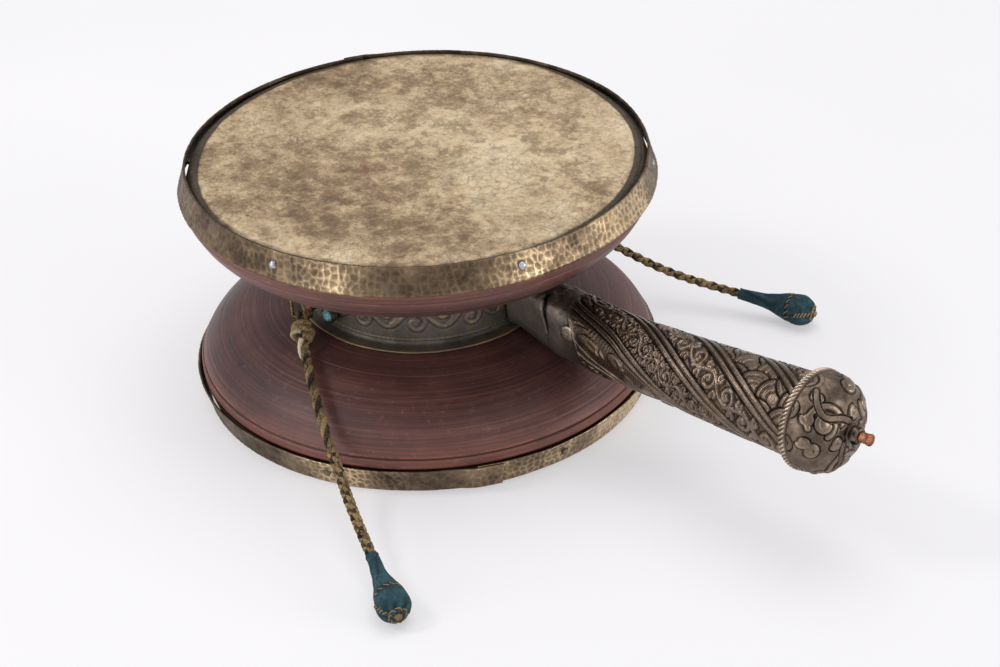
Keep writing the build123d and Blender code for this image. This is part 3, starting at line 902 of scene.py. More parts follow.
def hide(seed):
    """Rings of a head with its playing face down, from its middle out and back."""
    turned_down = 10.7
    out = np.concatenate([np.linspace(0.8, 98, 130), np.linspace(98.6, 104.2, 12)])
    edge_r, low_r = hoop_outer(1.2) - 1.25, hoop_outer(turned_down) - 1.25
    face = np.stack([out, 1.2 + 0 * out], -1)
    profile = np.vstack([
        face, [
            (edge_r - 0.5, 1.25), (edge_r - 0.05, 1.6), (edge_r + 0.3, 3.0),
            (low_r, turned_down), (low_r - 0.75, turned_down),
            (hoop_outer(2.2) - 2.05, 2.4), (hoop_outer(2.2) - 2.8, 2.0),
            (80, 1.98), (30, 1.98), (0.8, 1.98),
        ],
    ])
    rings, turn = revolve(profile, 320)
    radius = np.hypot(rings[..., 0], rings[..., 1])
    flat = rings * FLAT
    on_face = (np.arange(len(profile)) < len(out))[:, None] * smooth(-radius, -103.5, -96)
    cockle = 0.30 * noise(flat, 42, seed, 2) + 0.12 * noise(flat, 9, seed + 4, 2)
    crease = noise(flat + 7 * noise(flat, 30, seed + 9)[..., None], 26, seed + 12, 3)
    cockle = cockle - 0.22 * dip(crease, 0.035) - 0.12 * dip(crease - 0.35, 0.03)
    rings[..., 2] -= np.clip(cockle, -0.7, 0.9) * on_face
    drawn_in = 0.0
    for place, width, amount in SLACK:
        drawn_in = drawn_in + amount * dip(off_angle(turn, place), width)
    shown = (np.arange(len(profile)) < len(out) + 2)[:, None]
    swell(rings, 1 - drawn_in * smooth(radius, 60, 104) * shown / 104)
    stain = np.zeros_like(radius)
    for x, y, size, strength in STAINS:
        stain += strength * dip(np.hypot(rings[..., 0] - x, rings[..., 1] - y), size)
    across_scar = rings[..., 1] + 26 + 0.55 * (rings[..., 0] + 6)
    across_scar = across_scar + 3 * noise(flat, 11, seed + 22, 2)
    scar = dip(across_scar, 2.4) * dip(rings[..., 0] + 0.5 * rings[..., 1] + 14, 22)
    # painted shade at the rim: the turned-down edge and the slack places where the head has
    # drawn in, with uneven darkening a little further in
    edge = 1.2 * drawn_in * smooth(radius, 102.2, 103.6) + smooth(radius, 99, 105.5)
    edge = edge + 0.35 * noise(flat, 6, seed + 20, 2) * smooth(radius, 92, 100)
    return rings, {"stain": stain, "edge": edge, "scar": scar}


lower_and_upper("hide_head", hide_finish, "skin", False, hide(4), hide(6))


# ---- metals
def metal_finish(name, recess, low, body, high, roughness, tarnish, metallic=0.9):
    """Old metal whose recesses stay black and whose raised work is rubbed bright."""
    f = Finish(name, Metallic=metallic)
    relief = f.span(f.mark("relief"), 0.0, 1.0)
    broad = f.noise(42.0, 5.0, 0.65, 0.4)
    fine = f.noise(600.0, 4.0, 0.7)
    uneven = f.times(f.less(f.noise(170.0, 4.0, 0.65, 0.5), 0.5), 0.7)
    level = f.plus(relief, uneven)
    colour = f.ramp(level, (0.06, *recess), (0.30, *low), (0.58, *body), (0.95, *high))
    colour = f.tint(colour, tarnish, f.span(broad, 0.50, 0.72), 0.45)
    colour = f.tint(colour, recess, f.span(fine, 0.58, 0.75), 0.30)
    polish = f.plus(
        f.span(level, 0.1, 0.9, 0.30, 0.0), f.span(fine, 0.3, 0.7, roughness, roughness + 0.16)
    )
    return f.close(colour, polish, f.bump(f.plus(fine, broad), 0.00018))


hoop_finish = metal_finish(
    "hammered_brass", (54, 43, 34), (94, 78, 62), (142, 121, 96), (226, 198, 156), 0.22,
    (118, 106, 90), 0.92,
)
nail_finish = metal_finish(
    "nail_metal", (30, 28, 26), (82, 82, 82), (138, 140, 144), (206, 208, 214), 0.26,
    (104, 106, 104),
)
dark_nail_finish = metal_finish(
    "dark_nail_metal", (40, 38, 34), (66, 62, 54), (96, 92, 80), (128, 120, 104), 0.36,
    (80, 92, 82),
)
band_finish = metal_finish(
    "band_pewter", (40, 37, 35), (88, 83, 78), (116, 106, 92), (166, 140, 104), 0.30,
    (128, 124, 120), 0.72,
)
handle_finish = metal_finish(
    "repousse_bronze", (24, 20, 18), (86, 73, 63), (128, 111, 97), (194, 176, 156), 0.17,
    (110, 98, 78), 0.92,
)


def dents(along, over, seed, cell=3.3):
    """How deep crowded hammer marks reach on a strip, from 0 on their rims to 1."""
    ix, iy = np.floor(along / cell).astype(np.int64), np.floor(over / cell).astype(np.int64)
    first = np.full(np.broadcast(along, over).shape, 1e9)
    second = first.copy()
    for dx in (-1, 0, 1):
        for dy in (-1, 0, 1):
            cx, cy = ix + dx, iy + dy
            px = (cx + 0.1 + 0.8 * lattice(cx, cy, cx * 0, seed)) * cell
            py = (cy + 0.1 + 0.8 * lattice(cx, cy, cx * 0, seed + 1)) * cell
            away = np.hypot(along - px, over - py)
            second = np.minimum(second, np.maximum(first, away))
            first = np.minimum(first, away)
    return np.clip((second - first) / 1.5, 0, 1) ** 0.6


HOOP_MEAN_R = 108
HIGHLIGHT_AT = (-66, -18, 14)      # directions of painted highlights on the hoops, which stand in for a softbox's reflection


def hoop(seed, seam, lap, bulges):
    """Rings of a strip of hammered metal, mouth edge down, lapped over its own start."""
    span = TAU + math.radians(lap)
    angle = np.linspace(0, span, 1500)[:, None]
    out_h, in_h = np.linspace(0, 1, 17), np.linspace(1, 0, 7)
    height = np.concatenate([out_h, in_h])[None] * HOOP_H
    outer = (np.arange(height.size) < out_h.size)[None]
    turn = angle + math.radians(seam)
    along = HOOP_MEAN_R * angle
    circle = on_circle(turn) * HOOP_MEAN_R
    over_start = smooth(angle, span - math.radians(lap + 5), span - math.radians(lap)) * 1.35
    wave = 0.35 * noise(circle, 38, seed, 2) + 0.2
    for place, width, amount in bulges:
        wave = wave + amount * dip(off_angle(turn, place), width)
    mark = dents(along + 0 * height, height + 0 * along, seed + 5)
    lip = 0.22 * dip(height - HOOP_H, 1.0) + 0.18 * dip(height, 0.9)
    radius = hoop_outer(height) - np.where(outer, 0.0, 1.15) + wave + over_start
    radius = radius + np.where(outer, lip + 0.10 - 0.20 * mark, lip)
    ripple_high = 0.45 * noise(circle, 20, seed + 7, 2) + 0.2 * noise(circle, 6, seed + 8)
    ripple_low = 0.25 * noise(circle, 24, seed + 9, 2)
    share = height / HOOP_H
    z = height + ripple_high * share + np.clip(ripple_low, -0.2, 0.4) * (1 - share)
    z = np.clip(z, 0.0, None)
    rings = np.stack([radius * np.cos(turn), radius * np.sin(turn), z], -1)
    spot = circle + np.stack([0 * height, 0 * height, height], -1)
    rubbed = smooth(noise(spot, 34, seed + 13, 2), -0.35, 0.45)
    rubbed = rubbed * smooth(noise(spot, 9, seed + 14, 2), -0.7, 0.5)
    # painted highlight: the hoops are lightened in these directions, most of all round 12
    # degrees; the noise above is rubbed wear
    bright = sum(dip(off_angle(turn, place), 13) for place in HIGHLIGHT_AT)
    rubbed = np.clip(0.04 + 0.34 * rubbed + 0.75 * bright, 0, 1.1)
    painted_highlight = 0.26 * bright + 0.22 * dip(off_angle(turn, 12), 15)
    relief = 0.33 + (0.36 * (1 - mark) - 0.12 * mark) * rubbed + painted_highlight
    relief = relief + 0.5 * lip * (height > 11)
    # the inside face is set dark: painted shade on the hoop's inner wall
    relief = np.where(outer, relief, 0.12) + 0.14 * noise(spot, 14, seed + 11, 2)
    return rings, {"relief": relief}


lower_and_upper(
    "hammered_hoop", hoop_finish, "hoop", False,
    hoop(31, -33, 6, ((-110, 26, 0.7), (-150, 14, 0.5), (60, 20, 0.4))),
    hoop(47, 150, 5, ((34, 24, 0.8), (70, 18, 0.7), (-142, 24, 1.3))),
)


def domed(centre, normal, profile, seed, sides, wobble):
    """Rings of a small forged head from (radius, height) pairs, base first."""
    normal = np.asarray(normal, float) / np.linalg.norm(normal)
    one = np.cross(normal, (0, 0, 1) if abs(normal[2]) < 0.9 else (1, 0, 0))
    one /= np.linalg.norm(one)
    two = np.cross(normal, one)
    profile = np.array(profile, float)
    upright, turn = revolve(profile, sides)
    uneven = wobble * noise(upright, 1.4, seed, 2)
    radius, height = profile[:, :1] * (1 + uneven), profile[:, 1:2] * (1 + uneven)
    rings = moved(
        centre, (radius * np.cos(turn), one), (radius * np.sin(turn), two), (height, normal)
    )
    relief = 0.35 + 0.6 * height / max(profile[:, 1].max(), 0.1) + 2 * uneven
    return rings, False, {"relief": relief}


NAIL = [(0.4, -2.0), (0.75, -1.6), (0.75, -0.3), (1.85, -0.25), (2.0, 0.05), (1.9, 0.35),
        (1.55, 0.75), (1.05, 1.05), (0.5, 1.2), (0.15, 1.22)]
NAILS_EACH, NAIL_Z = 6, HOOP_H / 2
NAIL_R = hoop_outer(NAIL_Z) + 0.1
for label, first, flip, finish in (
    ("lower", -70, False, dark_nail_finish), ("upper", -80, True, nail_finish),
):
    shells = []
    for index in range(NAILS_EACH):
        a = math.radians(first + 360 / NAILS_EACH * index)
        normal = np.array([math.cos(a), math.sin(a), -0.29])
        centre = np.array([NAIL_R * math.cos(a), NAIL_R * math.sin(a), NAIL_Z])
        rings, loop, marks = domed(centre, normal, NAIL, index + first, 28, 0.12)
        shells.append((mirror_z(rings) if flip else rings, loop, marks))
    piece(f"{label}_nails", "drum", finish, shells, [f"{label}_hoop_nails"])


# ---- raised work: flat motifs that repeat along a field
def scroll_field(u, v, width, period, big, line=0.75, leaves=True):
    """A vine that waves along a field, with a hooked scroll in every bend."""
    middle, swing = width / 2, width * 0.20
    u = u % period
    t = np.linspace(-0.1, 1.1, 200)
    vine = np.stack([t * period, middle + swing * np.sin(TAU * t)], -1)
    drawn, centres = [vine], []
    for shift in (-1, 0, 1):
        for side, place in ((1, 0.25), (-1, 0.75)):
            centre = ((place + shift) * period, middle - side * width * 0.10)
            start = side * math.pi / 2 + 0.3
            drawn.append(spiral(centre, big, big * 0.25, start, -side * 1.15))
            centres.append(centre)
            for k in (-1, 1) if leaves else ():
                leaf = (centre[0] + k * period * 0.22, middle + side * width * 0.30)
                drawn.append(spiral(leaf, big * 0.42, big * 0.16, side * 1.2 + k, k * 0.7, 24))
    distance = nearest(u, v, np.vstack(drawn))
    height = 0.30 + 0.65 * hump(distance, line) - 0.75 * dip(distance - line * 1.22, 0.30)
    for cx, cy in centres:
        height = np.maximum(height, 0.95 * hump(np.hypot(u - cx, v - cy), big * 0.27))
    return height


def scale_field(u, v, size, rings_apart, seed):
    """Overlapping scales of concentric ridges, like feathers or petals."""
    best = np.full(u.shape, -1e9)
    height = np.zeros(u.shape)
    row = np.floor(u / size).astype(np.int64)
    for du in (-1, 0, 1, 2):
        at = row + du
        odd = (at % 2) * 0.5
        col = np.floor(v / size - odd).astype(np.int64)
        for dv in (-1, 0, 1, 2):
            across = col + dv
            jitter = 0.16 * (lattice(at, across, at * 0, seed) - 0.5)
            cu, cv = (at + jitter) * size, (across + odd + jitter) * size
            d = np.hypot((u - cu) * 0.85, v - cv)
            inside = (d < size * 0.80) & (cu > best)
            ring = np.abs((d + 0.35 * rings_apart) % rings_apart - 0.5 * rings_apart)
            ridge = 0.42 - 0.62 * dip(ring, 0.26) * (d > 0.25 * size)
            ridge = ridge - 0.9 * dip(d - size * 0.78, 0.34)
            ridge = ridge + 0.30 * hump(d, size * 0.78)
            height = np.where(inside, ridge, height)
            best = np.where(inside, cu, best)
    return height


def drop_field(u, v, width, period):
    """Long drop-shaped leaves with a raised rim, in two rows."""
    u = u % period
    height = np.zeros(u.shape)
    for shift in (-1, 0, 1):
        for place, row in ((0.15, 0.33), (0.65, 0.66)):
            du, dv = u - (place + shift) * period, v - row * width
            slim = np.clip(1 - du / (period * 0.55), 0.25, 1.4)
            d = np.hypot(du / 1.9, dv / slim)
            height = np.maximum(height, 0.30 + 0.60 * hump(d, 3.0) * (1 - 0.55 * dip(d, 1.3)))
            height = height - 0.9 * dip(d - 3.3, 0.34) - 0.5 * dip(d - 5.0, 0.28)
    return height


def chased_line(raised):
    """How dark the ground is: 1 in the grooves beside raised work, 0 on it."""
    return np.clip(0.22 - raised, 0, 0.6) / 0.6


# ---- waist band
BAND_T, FLANGE_R, SHOULDER_Z = 1.2, 59.6, HOOP_H + BOWL_RISE
BAND_SCROLLS, BAND_BEADS = 13, 150
band_r = NECK_R + BAND_T
half_band = np.array([
    (NECK_R + 0.05, MID_Z), (NECK_R + 0.05, SHOULDER_Z), (55.5, SHOULDER_Z - 0.05),
    (FLANGE_R - 0.4, SHOULDER_Z - 0.42), (FLANGE_R + 0.1, SHOULDER_Z - 0.1),
    (FLANGE_R + 0.3, SHOULDER_Z + 0.35), (FLANGE_R, SHOULDER_Z + 0.8),
    (FLANGE_R - 0.6, SHOULDER_Z + 0.85), (57.6, SHOULDER_Z + 0.75),
    (56.2, SHOULDER_Z + 1.15), (55.1, SHOULDER_Z + 1.7), (band_r + 0.1, SHOULDER_Z + 2.9),
    (band_r, SHOULDER_Z + 4.0),
])
top_half = half_band[::-1].copy()
top_half[:, 1] = DRUM_H - top_half[:, 1]
profile, _ = even(np.vstack([half_band, top_half]), 0.42)
rings, turn = revolve(profile, 720)
radius = np.hypot(rings[..., 0], rings[..., 1])
height = rings[..., 2]
low, high = SHOULDER_Z + 3.4, DRUM_H - SHOULDER_Z - 3.4
face = (radius > band_r - 0.05) & (height > low) & (height < high)
period = TAU * band_r / BAND_SCROLLS
field = scroll_field(
    turn * band_r, height - low, high - low, period, 5.6, 1.15, leaves=False
)
border = dip(height - low - 0.5, 0.45) + dip(height - high + 0.5, 0.45)
beads = 0.5 + 0.5 * np.cos(turn * BAND_BEADS)
vine = np.maximum(field, -0.25) * smooth(height, low + 0.8, low + 1.6)
vine = vine * smooth(-height, -high + 0.8, -high + 1.6)
raised = np.where(face, np.maximum(vine, border * (0.6 + 0.4 * beads)), 0.0)
edge_wave = noise(on_circle(turn) * 54, 16, 71, 2)
on_flange = smooth(radius, 55.6, 59.2)
push = 0.62 * raised + 0.40 * edge_wave * on_flange
swell(rings, 1 + push / radius)
relief = np.where(
    face, 0.40 + 0.24 * raised - 0.32 * chased_line(raised),
    0.30 + 0.42 * on_flange + 0.25 * edge_wave,
)
piece("relief_waist_band", "drum", band_finish,
      [(rings, True, {"relief": relief})], ["waist_band"])

# ---- handle
TILT = math.radians(4.7)
ALONG = np.array([math.cos(TILT), 0, math.sin(TILT)])
UPWARD = np.array([-math.sin(TILT), 0, math.cos(TILT)])
START = np.array([0, 8.5, 43.5])
# reach along the axis, lift over it, half width, half height, squareness
SECTIONS = np.array([
    (62, 8.5, 10.0, 12.5, 4.2), (72, 6.2, 10.1, 13.9, 4.0), (82, 4.2, 10.6, 15.0, 3.6),
    (93, 2.5, 11.7, 15.2, 3.0), (104, 1.2, 13.0, 15.3, 2.5), (117, 0.4, 14.2, 15.2, 2.15),
    (130, 0, 15.2, 15.2, 2.0), (178, 0, 16.9, 16.9, 2.0), (226, 0, 18.6, 18.6, 2.0),
])
ROOT, RING, TEAR_AT = 56.9, 226.0, 81.8
RIB_GAP, RIB_STARTS, RIB_SHIFT = 37.0, 5, -0.461
GRIP_R = 16.5                   # mean radius under the ribs
# length along a rib for each mm of reach, and how much a mm across the field takes off
ALONG_RIB, BACK_PER_WIDTH = 1.136, 0.538
RIB_W = 2.9                     # a rib's half width, which the fields leave free


def sleeve(reach, turn, thinner=0.0):
    """Middle line and half sizes of the handle, as points round it."""
    lift, half_y, half_z, square = (
        np.interp(reach, SECTIONS[:, 0], SECTIONS[:, k]) for k in range(1, 5)
    )
    c, s = np.cos(turn), np.sin(turn)
    flat_c = np.sign(c) * np.abs(c) ** (2 / square)
    flat_s = np.sign(s) * np.abs(s) ** (2 / square)
    across = (half_y - thinner) * flat_c
    over = lift + (half_z - thinner) * flat_s
    return across, over


def placed(reach, across, over):
    """Points from their reach along the handle, and how far across and over it."""
    return moved(START, (reach, ALONG), (over, UPWARD), (across, SIDEWAYS))


reach = np.concatenate([np.arange(ROOT, 118, 0.5), np.arange(118, RING - 0.2, 0.38)])[:, None]
reach, turn = np.broadcast_arrays(reach, full_turn(288))
across, over = sleeve(reach, turn)
start_line = smooth(turn, math.pi / 2, 1.5 * math.pi) * smooth(-turn, -TAU, -1.6 * math.pi)
start_line = 92 + 18 * start_line
# the ribs bend steeper where they set out, close to the root
bent = reach + 12 * smooth(-reach, -128, -90)
ribs = bent / RIB_GAP - RIB_STARTS * turn / TAU + RIB_SHIFT
number = np.floor(ribs)
share = ribs - number
width = RIB_GAP * math.sin(math.atan(TAU * GRIP_R / (RIB_GAP * RIB_STARTS)))
v = share * width
length_way = bent * ALONG_RIB - BACK_PER_WIDTH * v
kind = np.mod(number, RIB_STARTS).astype(int)
# each field between two ribs has its own motif
inner_v = v - RIB_W
field_w = width - 2 * RIB_W
scrolls = scroll_field(length_way + 3 * kind, inner_v, field_w, 25.0, 4.6, 1.15)
feathers = scale_field(length_way, inner_v + 1.5, 6.4, 1.7, 3)
petals = scale_field(length_way, inner_v, 11.5, 2.9, 9)
drops = drop_field(length_way, inner_v, field_w, 21.0)
field = np.choose(kind, [drops, feathers, scrolls, petals, scrolls])
hooks = scroll_field(length_way + 9, inner_v, field_w, 17.0, 3.2, 0.8)
hooked = np.where(hooks > 0.5, hooks, np.minimum(field, hooks + 0.35))
field = np.where(kind == 1, hooked, field)
from_rib = np.minimum(v, width - v)
in_field = smooth(from_rib, 2.7, 3.3)
ribbon = 0.34 * (from_rib < RIB_W) + 0.42 * hump(from_rib - 1.5, 1.35)
ribbon = ribbon - 0.62 * dip(from_rib - 0.1, 0.30)
raised = ribbon - 0.75 * dip(from_rib - 3.05, 0.34) + field * in_field
# small chased strokes in the ground
ground = 0.05 * np.sin(TAU * length_way / 1.3 + 2 * np.sin(v)) * (field < 0.4) * in_field
begins = smooth(reach - start_line, 0.0, 5.0)
rim_line = 0.45 * dip(reach - start_line - 1.0, 0.8) * smooth(reach, 80, 90)
soft = smooth(-reach, -RING, -RING + 5)
raised = (raised + ground) * begins * (0.25 + 0.75 * soft) + rim_line
# the plain root: a bruised plate, torn across its near cheek and along its top
skin = placed(reach, across, over)
bruise = 0.28 * noise(skin, 15, 81, 2) + 0.10 * noise(skin, 4, 83, 2)
height_z = skin[..., 2]
near_cheek = smooth(-across, 4.0, 7.5)
jag = TEAR_AT + 0.9 * noise(height_z, 3.2, 88) + 0.35 * noise(height_z, 1.1, 89)
jag = jag - 0.10 * (height_z - 57)
tear = dip(reach - jag, 0.55 + 0.5 * smooth(height_z, 52, 60))
tear = tear * smooth(height_z, 50.5, 52.5) * near_cheek
step = 0.55 * smooth(reach - jag, -1.0, 0.6) * smooth(-reach, -95, -84) * near_cheek
mid_over = np.interp(reach, SECTIONS[:, 0], SECTIONS[:, 1])
on_top = smooth(over - mid_over, 9.0, 13.0)
crumple = on_top * smooth(-reach, -97, -84) * (0.9 * noise(skin, 5.5, 91, 3) - 0.25)
plain = 1 - begins
push = 1.05 * (raised - 0.25 * begins) + plain * (bruise + step - 1.7 * tear + crumple)
radial = np.hypot(across, over - mid_over)
across = across * (1 + push / radial)
over = mid_over + (over - mid_over) * (1 + push / radial)
edge_cut = 0.9 * noise(skin, 7, 95, 2) * smooth(-reach, -ROOT - 4, -ROOT)
outer = placed(reach + edge_cut, across, over)
relief = 0.42 + (0.34 * (np.clip(raised, 0, 1) - 0.3) - 0.62 * chased_line(raised)) * begins
relief = relief + plain * (0.35 * bruise - 0.06) - 1.4 * tear - 0.3 * np.abs(crumple)
inside_reach, inside_turn = np.broadcast_arrays(
    np.linspace(RING - 0.5, ROOT + 0.2, 30)[:, None], turn[:1]
)
inner = placed(inside_reach, *sleeve(inside_reach, inside_turn, 1.3))
rings = np.vstack([outer, inner])
marks = {
    "relief": np.vstack([relief, 0.05 + 0 * inside_reach]),
    "grey": np.vstack([plain * smooth(-reach, -112, -88), 0 * inside_reach]),
}

f = Finish("root_and_sleeve_bronze", Metallic=0.9)
relief_mark = f.span(f.mark("relief"), -0.2, 1.0)
broad = f.noise(38.0, 5.0, 0.65, 0.4)
fine = f.noise(650.0, 4.0, 0.7)
uneven = f.times(f.less(f.noise(150.0, 4.0, 0.65, 0.5), 0.5), 0.45)
level = f.plus(relief_mark, uneven)
colour = f.ramp(
    level, (0.10, 20, 17, 16), (0.34, 64, 53, 46), (0.56, 96, 81, 71), (0.95, 156, 138, 122)
)
colour = f.tint(colour, (96, 74, 46), f.span(broad, 0.48, 0.66), 0.45)
plain_colour = f.ramp(
    level, (0.02, 18, 17, 16), (0.24, 96, 89, 82), (0.50, 136, 127, 117), (0.9, 176, 166, 152)
)
colour = f.tint(colour, plain_colour, f.mark("grey"), 0.85)
colour = f.tint(colour, (24, 20, 15), f.span(fine, 0.58, 0.75), 0.30)
polish = f.plus(f.span(level, 0.1, 0.6, 0.26, 0.0), f.span(fine, 0.3, 0.7, 0.19, 0.32))
polish = f.plus(polish, f.times(f.mark("grey"), 0.14))
sleeve_finish = f.close(colour, polish, f.bump(f.plus(fine, broad), 0.00018))
piece("repousse_sleeve", "drum", sleeve_finish,
      [(rings, True, marks)], ["handle_tube"])

# rivet heads on both cheeks
RIVET = np.array([96.0, 8.5, 57.6])
HEAD = [(1.0, -2.5), (1.9, -1.8), (1.9, -0.2), (4.0, -0.15), (4.15, 0.15), (4.0, 0.55),
        (3.5, 0.8), (2.6, 0.95), (1.5, 1.0), (0.4, 1.02)]
shells = [
    domed(RIVET + way * 11.95 * SIDEWAYS, (0.05, way, 0.05), HEAD, 61 + way, 40, 0.03)
    for way in (-1, 1)
]
shank, _ = tube(moved(RIVET, (np.linspace(-11.5, 11.5, 12), SIDEWAYS)), 1.9, 16)
shells.append((shank, False, {"relief": 0.1}))
piece("rivet_heads", "drum", handle_finish, shells, ["handle_rivet"])


def on_axis(reach, radius, turn):
    """Points round the handle's axis."""
    return moved(
        START, (reach, ALONG), (radius * np.cos(turn), SIDEWAYS),
        (radius * np.sin(turn), UPWARD),
    )


# rope border: slanting gadroons round the ring
CAP_R, CAP_DEPTH, CAP_START = 21.8, 18.4, 228.45
GADROONS, SCALLOPS = 66, 9
outline = np.array([
    (-2.6, 18.3), (2.4, 18.3), (2.4, CAP_R - 0.5), (1.9, CAP_R + 0.1), (1.0, CAP_R + 0.45),
    (0.0, CAP_R + 0.5), (-1.0, CAP_R + 0.2), (-1.9, CAP_R - 0.6), (-2.5, CAP_R - 1.8),
])
profile, _ = even(outline, 0.28)
u, r, turn = across_profile(profile, full_turn(540))
on_rope = smooth(r, 19.2, 20.6) * smooth(-u, -2.1, -1.2)
slant = np.abs(np.cos(GADROONS / 2 * turn + 0.95 * u + 0.4 * np.sin(7 * turn)))
raised = (slant - 0.5) * on_rope
r = r + 0.75 * raised + 0.12 * noise(turn[0] * 20, 6, 101)[None] * on_rope
relief = 0.42 + 0.8 * raised + 0.2 * on_rope
piece("rope_border", "drum", handle_finish,
      [(on_axis(RING + u, r, turn), True, {"relief": relief})], ["cap_ring"])

# domed cap: scrolls, chased bands and scallops drawn out flat from its tip
sweep = np.linspace(0.004, 1, 150) ** 1.1 * math.pi / 2 * 0.99999
dome_u = (CAP_DEPTH - 1.4) * np.cos(sweep) ** 0.80
dome_r = CAP_R * np.sin(sweep) ** 0.80
spread = np.concatenate([[0], np.cumsum(np.hypot(np.diff(dome_u), np.diff(dome_r)))])[:, None]
spread, turn = np.broadcast_arrays(spread, full_turn(330))
x, y = spread * np.cos(turn), spread * np.sin(turn)
drawn, balls, bands = [], [], []


def scroll(away, angle, ball, *shape):
    """One scroll on the cap, with a ball in its eye if it has one."""
    centre = (away * math.cos(angle), away * math.sin(angle))
    drawn.append(spiral(centre, *shape))
    if ball:
        balls.append((centre, ball))


for k in range(3):
    a = math.radians(25 + 120 * k)
    b = a + math.radians(42)
    scroll(15.5, a, 2.4, 5.6, 2.2, a + 2.2, 1.15)
    scroll(15.5, a, 0, 8.6, 7.6, a + 3.4, 0.55, 40)
    for lobe in (-0.5, 0.0, 0.5):
        scroll(23.5, a + lobe, 0.9, 2.6, 1.0, a + lobe * 2, 0.9, 24)
    scroll(20.5, b, 1.2, 3.6, 1.1, b - 1.0, -1.1, 40)
    scroll(8.4, b, 0, 2.6, 0.9, b + 0.4, 1.0, 30)
    t = np.linspace(0, 1, 70)
    away = 5.5 + 20.5 * t
    bend = a + math.radians(70) + 0.55 * np.sin(math.pi * t) + 0.25 * t
    bands.append(np.stack([away * np.cos(bend), away * np.sin(bend)], -1))
to_line = nearest(x, y, np.vstack(drawn))
to_band = nearest(x, y, np.vstack(bands))
raised = 0.30 + 0.60 * hump(to_line, 1.30) - 0.75 * dip(to_line - 1.62, 0.34)
for (cx, cy), size in balls:
    raised = np.maximum(raised, hump(np.hypot(x - cx, y - cy), size))
hatch = 0.5 + 0.5 * np.sign(np.sin(TAU * (x * 0.9 + y * 0.75)))
band_shape = 0.46 + 0.26 * (to_band < 1.1) * (hatch - 0.5) - 0.62 * dip(to_band - 1.5, 0.28)
raised = np.where(to_band < 1.9, band_shape, raised)
scallop_turn = (turn * SCALLOPS / TAU) % 1 - 0.5
from_edge = spread[-1, 0] - spread
arc = np.hypot(scallop_turn * TAU * CAP_R / SCALLOPS, from_edge + 0.5)
scallop = 0.40 - 0.7 * dip(np.abs(arc % 2.7 - 1.35), 0.30) * (arc > 1.3) + 0.2 * hump(arc, 6.4)
raised = np.where((arc < 6.5) & (to_band > 1.9) & (to_line > 1.9), scallop, raised)
lumps = 0.35 * noise(np.stack([x, y, 0 * x], -1), 7, 111, 2)
near_tip = smooth(-spread, -4.6, -3.4)
raised = raised * (1 - near_tip)
push = (0.95 * (raised - 0.2) + 1.3 * lumps) * smooth(from_edge, 0.0, 1.2)
direction = np.stack([dome_u / (CAP_DEPTH - 2.0), dome_r / CAP_R], -1)
direction /= np.linalg.norm(direction, axis=1)[:, None]
u = dome_u[:, None] + push * direction[:, :1]
r = dome_r[:, None] + push * direction[:, 1:2]
outer = on_axis(CAP_START + u, r, turn)
sweep = np.linspace(math.pi / 2, 0.02, 24)
hollow = np.stack([(CAP_DEPTH - 3.4) * np.cos(sweep), (CAP_R - 1.4) * np.sin(sweep)], -1)
in_u, in_r, in_turn = across_profile(hollow, turn[:1])
inner = on_axis(CAP_START + in_u, in_r, in_turn)
relief = 0.42 + 0.30 * (np.clip(raised, 0, 1) - 0.3) + 0.30 * lumps
relief = relief - 0.62 * chased_line(raised) * (1 - near_tip) - 0.25 * near_tip
relief = np.vstack([relief, 0 * in_u])
piece("chased_dome", "drum", handle_finish,
      [(np.vstack([outer, inner]), False, {"relief": relief})], ["end_cap"])

# small drilled knob, washer and the peened end of the tie rod
knob_start = CAP_START + CAP_DEPTH - 2.35
knob = np.array([
    (-0.4, 2.4), (-0.4, 4.9), (0.3, 5.1), (0.8, 4.6), (1.2, 3.3), (1.9, 3.0), (2.5, 3.3),
    (3.2, 4.1), (4.2, 4.5), (5.3, 4.2), (6.2, 3.4), (6.5, 2.6), (6.4, 2.4),
])
profile, _ = even(knob, 0.25)
u, r, turn = across_profile(profile, full_turn(60))
flute = 0.22 * np.cos(6 * turn + 0.5) * smooth(r, 3.4, 4.0)
hole = dip(np.hypot((u - 4.2), r * ((turn - 3.6 + math.pi) % TAU - math.pi)), 1.05)
lump = 0.10 * noise(np.stack([u, r * np.cos(turn), r * np.sin(turn)], -1), 1.6, 121, 2)
r = r + (flute + lump) * (r > 2.9) - 1.5 * hole * (r > 2.9)
# the drilled hole's dent is set dark: painted shade in the hole
relief = 0.35 + flute + 3 * lump - 1.5 * hole
piece("drilled_knob", "drum", handle_finish,
      [(on_axis(knob_start + u, r, turn), True, {"relief": relief})], ["finial_knob"])

copper_finish = grained(
    "bare_copper", (500.0, 5.0, 0.7, 0.4), ((0.35, 74, 42, 30), (0.5, 142, 84, 60),
    (0.68, 196, 134, 102)), (0.5, 0.32), 0.0003, ((74, 96, 78), (0.58, 0.68, 260.0, 3.0), 1.0),
    Metallic=0.85,
)
rod_end = RING + CAP_DEPTH + 12.2
rod = [(110.0, 2.2), (knob_start + 5.9, 2.2), (knob_start + 6.4, 2.25),
       (rod_end - 1.9, 2.35), (rod_end - 1.2, 2.75), (rod_end - 0.5, 2.65),
       (rod_end - 0.1, 1.9), (rod_end, 0.8)]
rod = np.vstack([rod[0], *[
    np.linspace(a, b, 3 + int(8 * (k > 0)))[1:] for k, (a, b) in enumerate(zip(rod, rod[1:]))
]])
u, r, turn = across_profile(rod, full_turn(40))
thread = 0.12 * np.sin(TAU * u / 0.95 + turn) * (u > knob_start + 6.5) * (u < rod_end - 1.4)
dented = 0.04 * noise(np.stack([u, r * np.cos(turn), r * np.sin(turn)], -1), 1.5, 131, 2)
r = r * (1 + dented) + thread
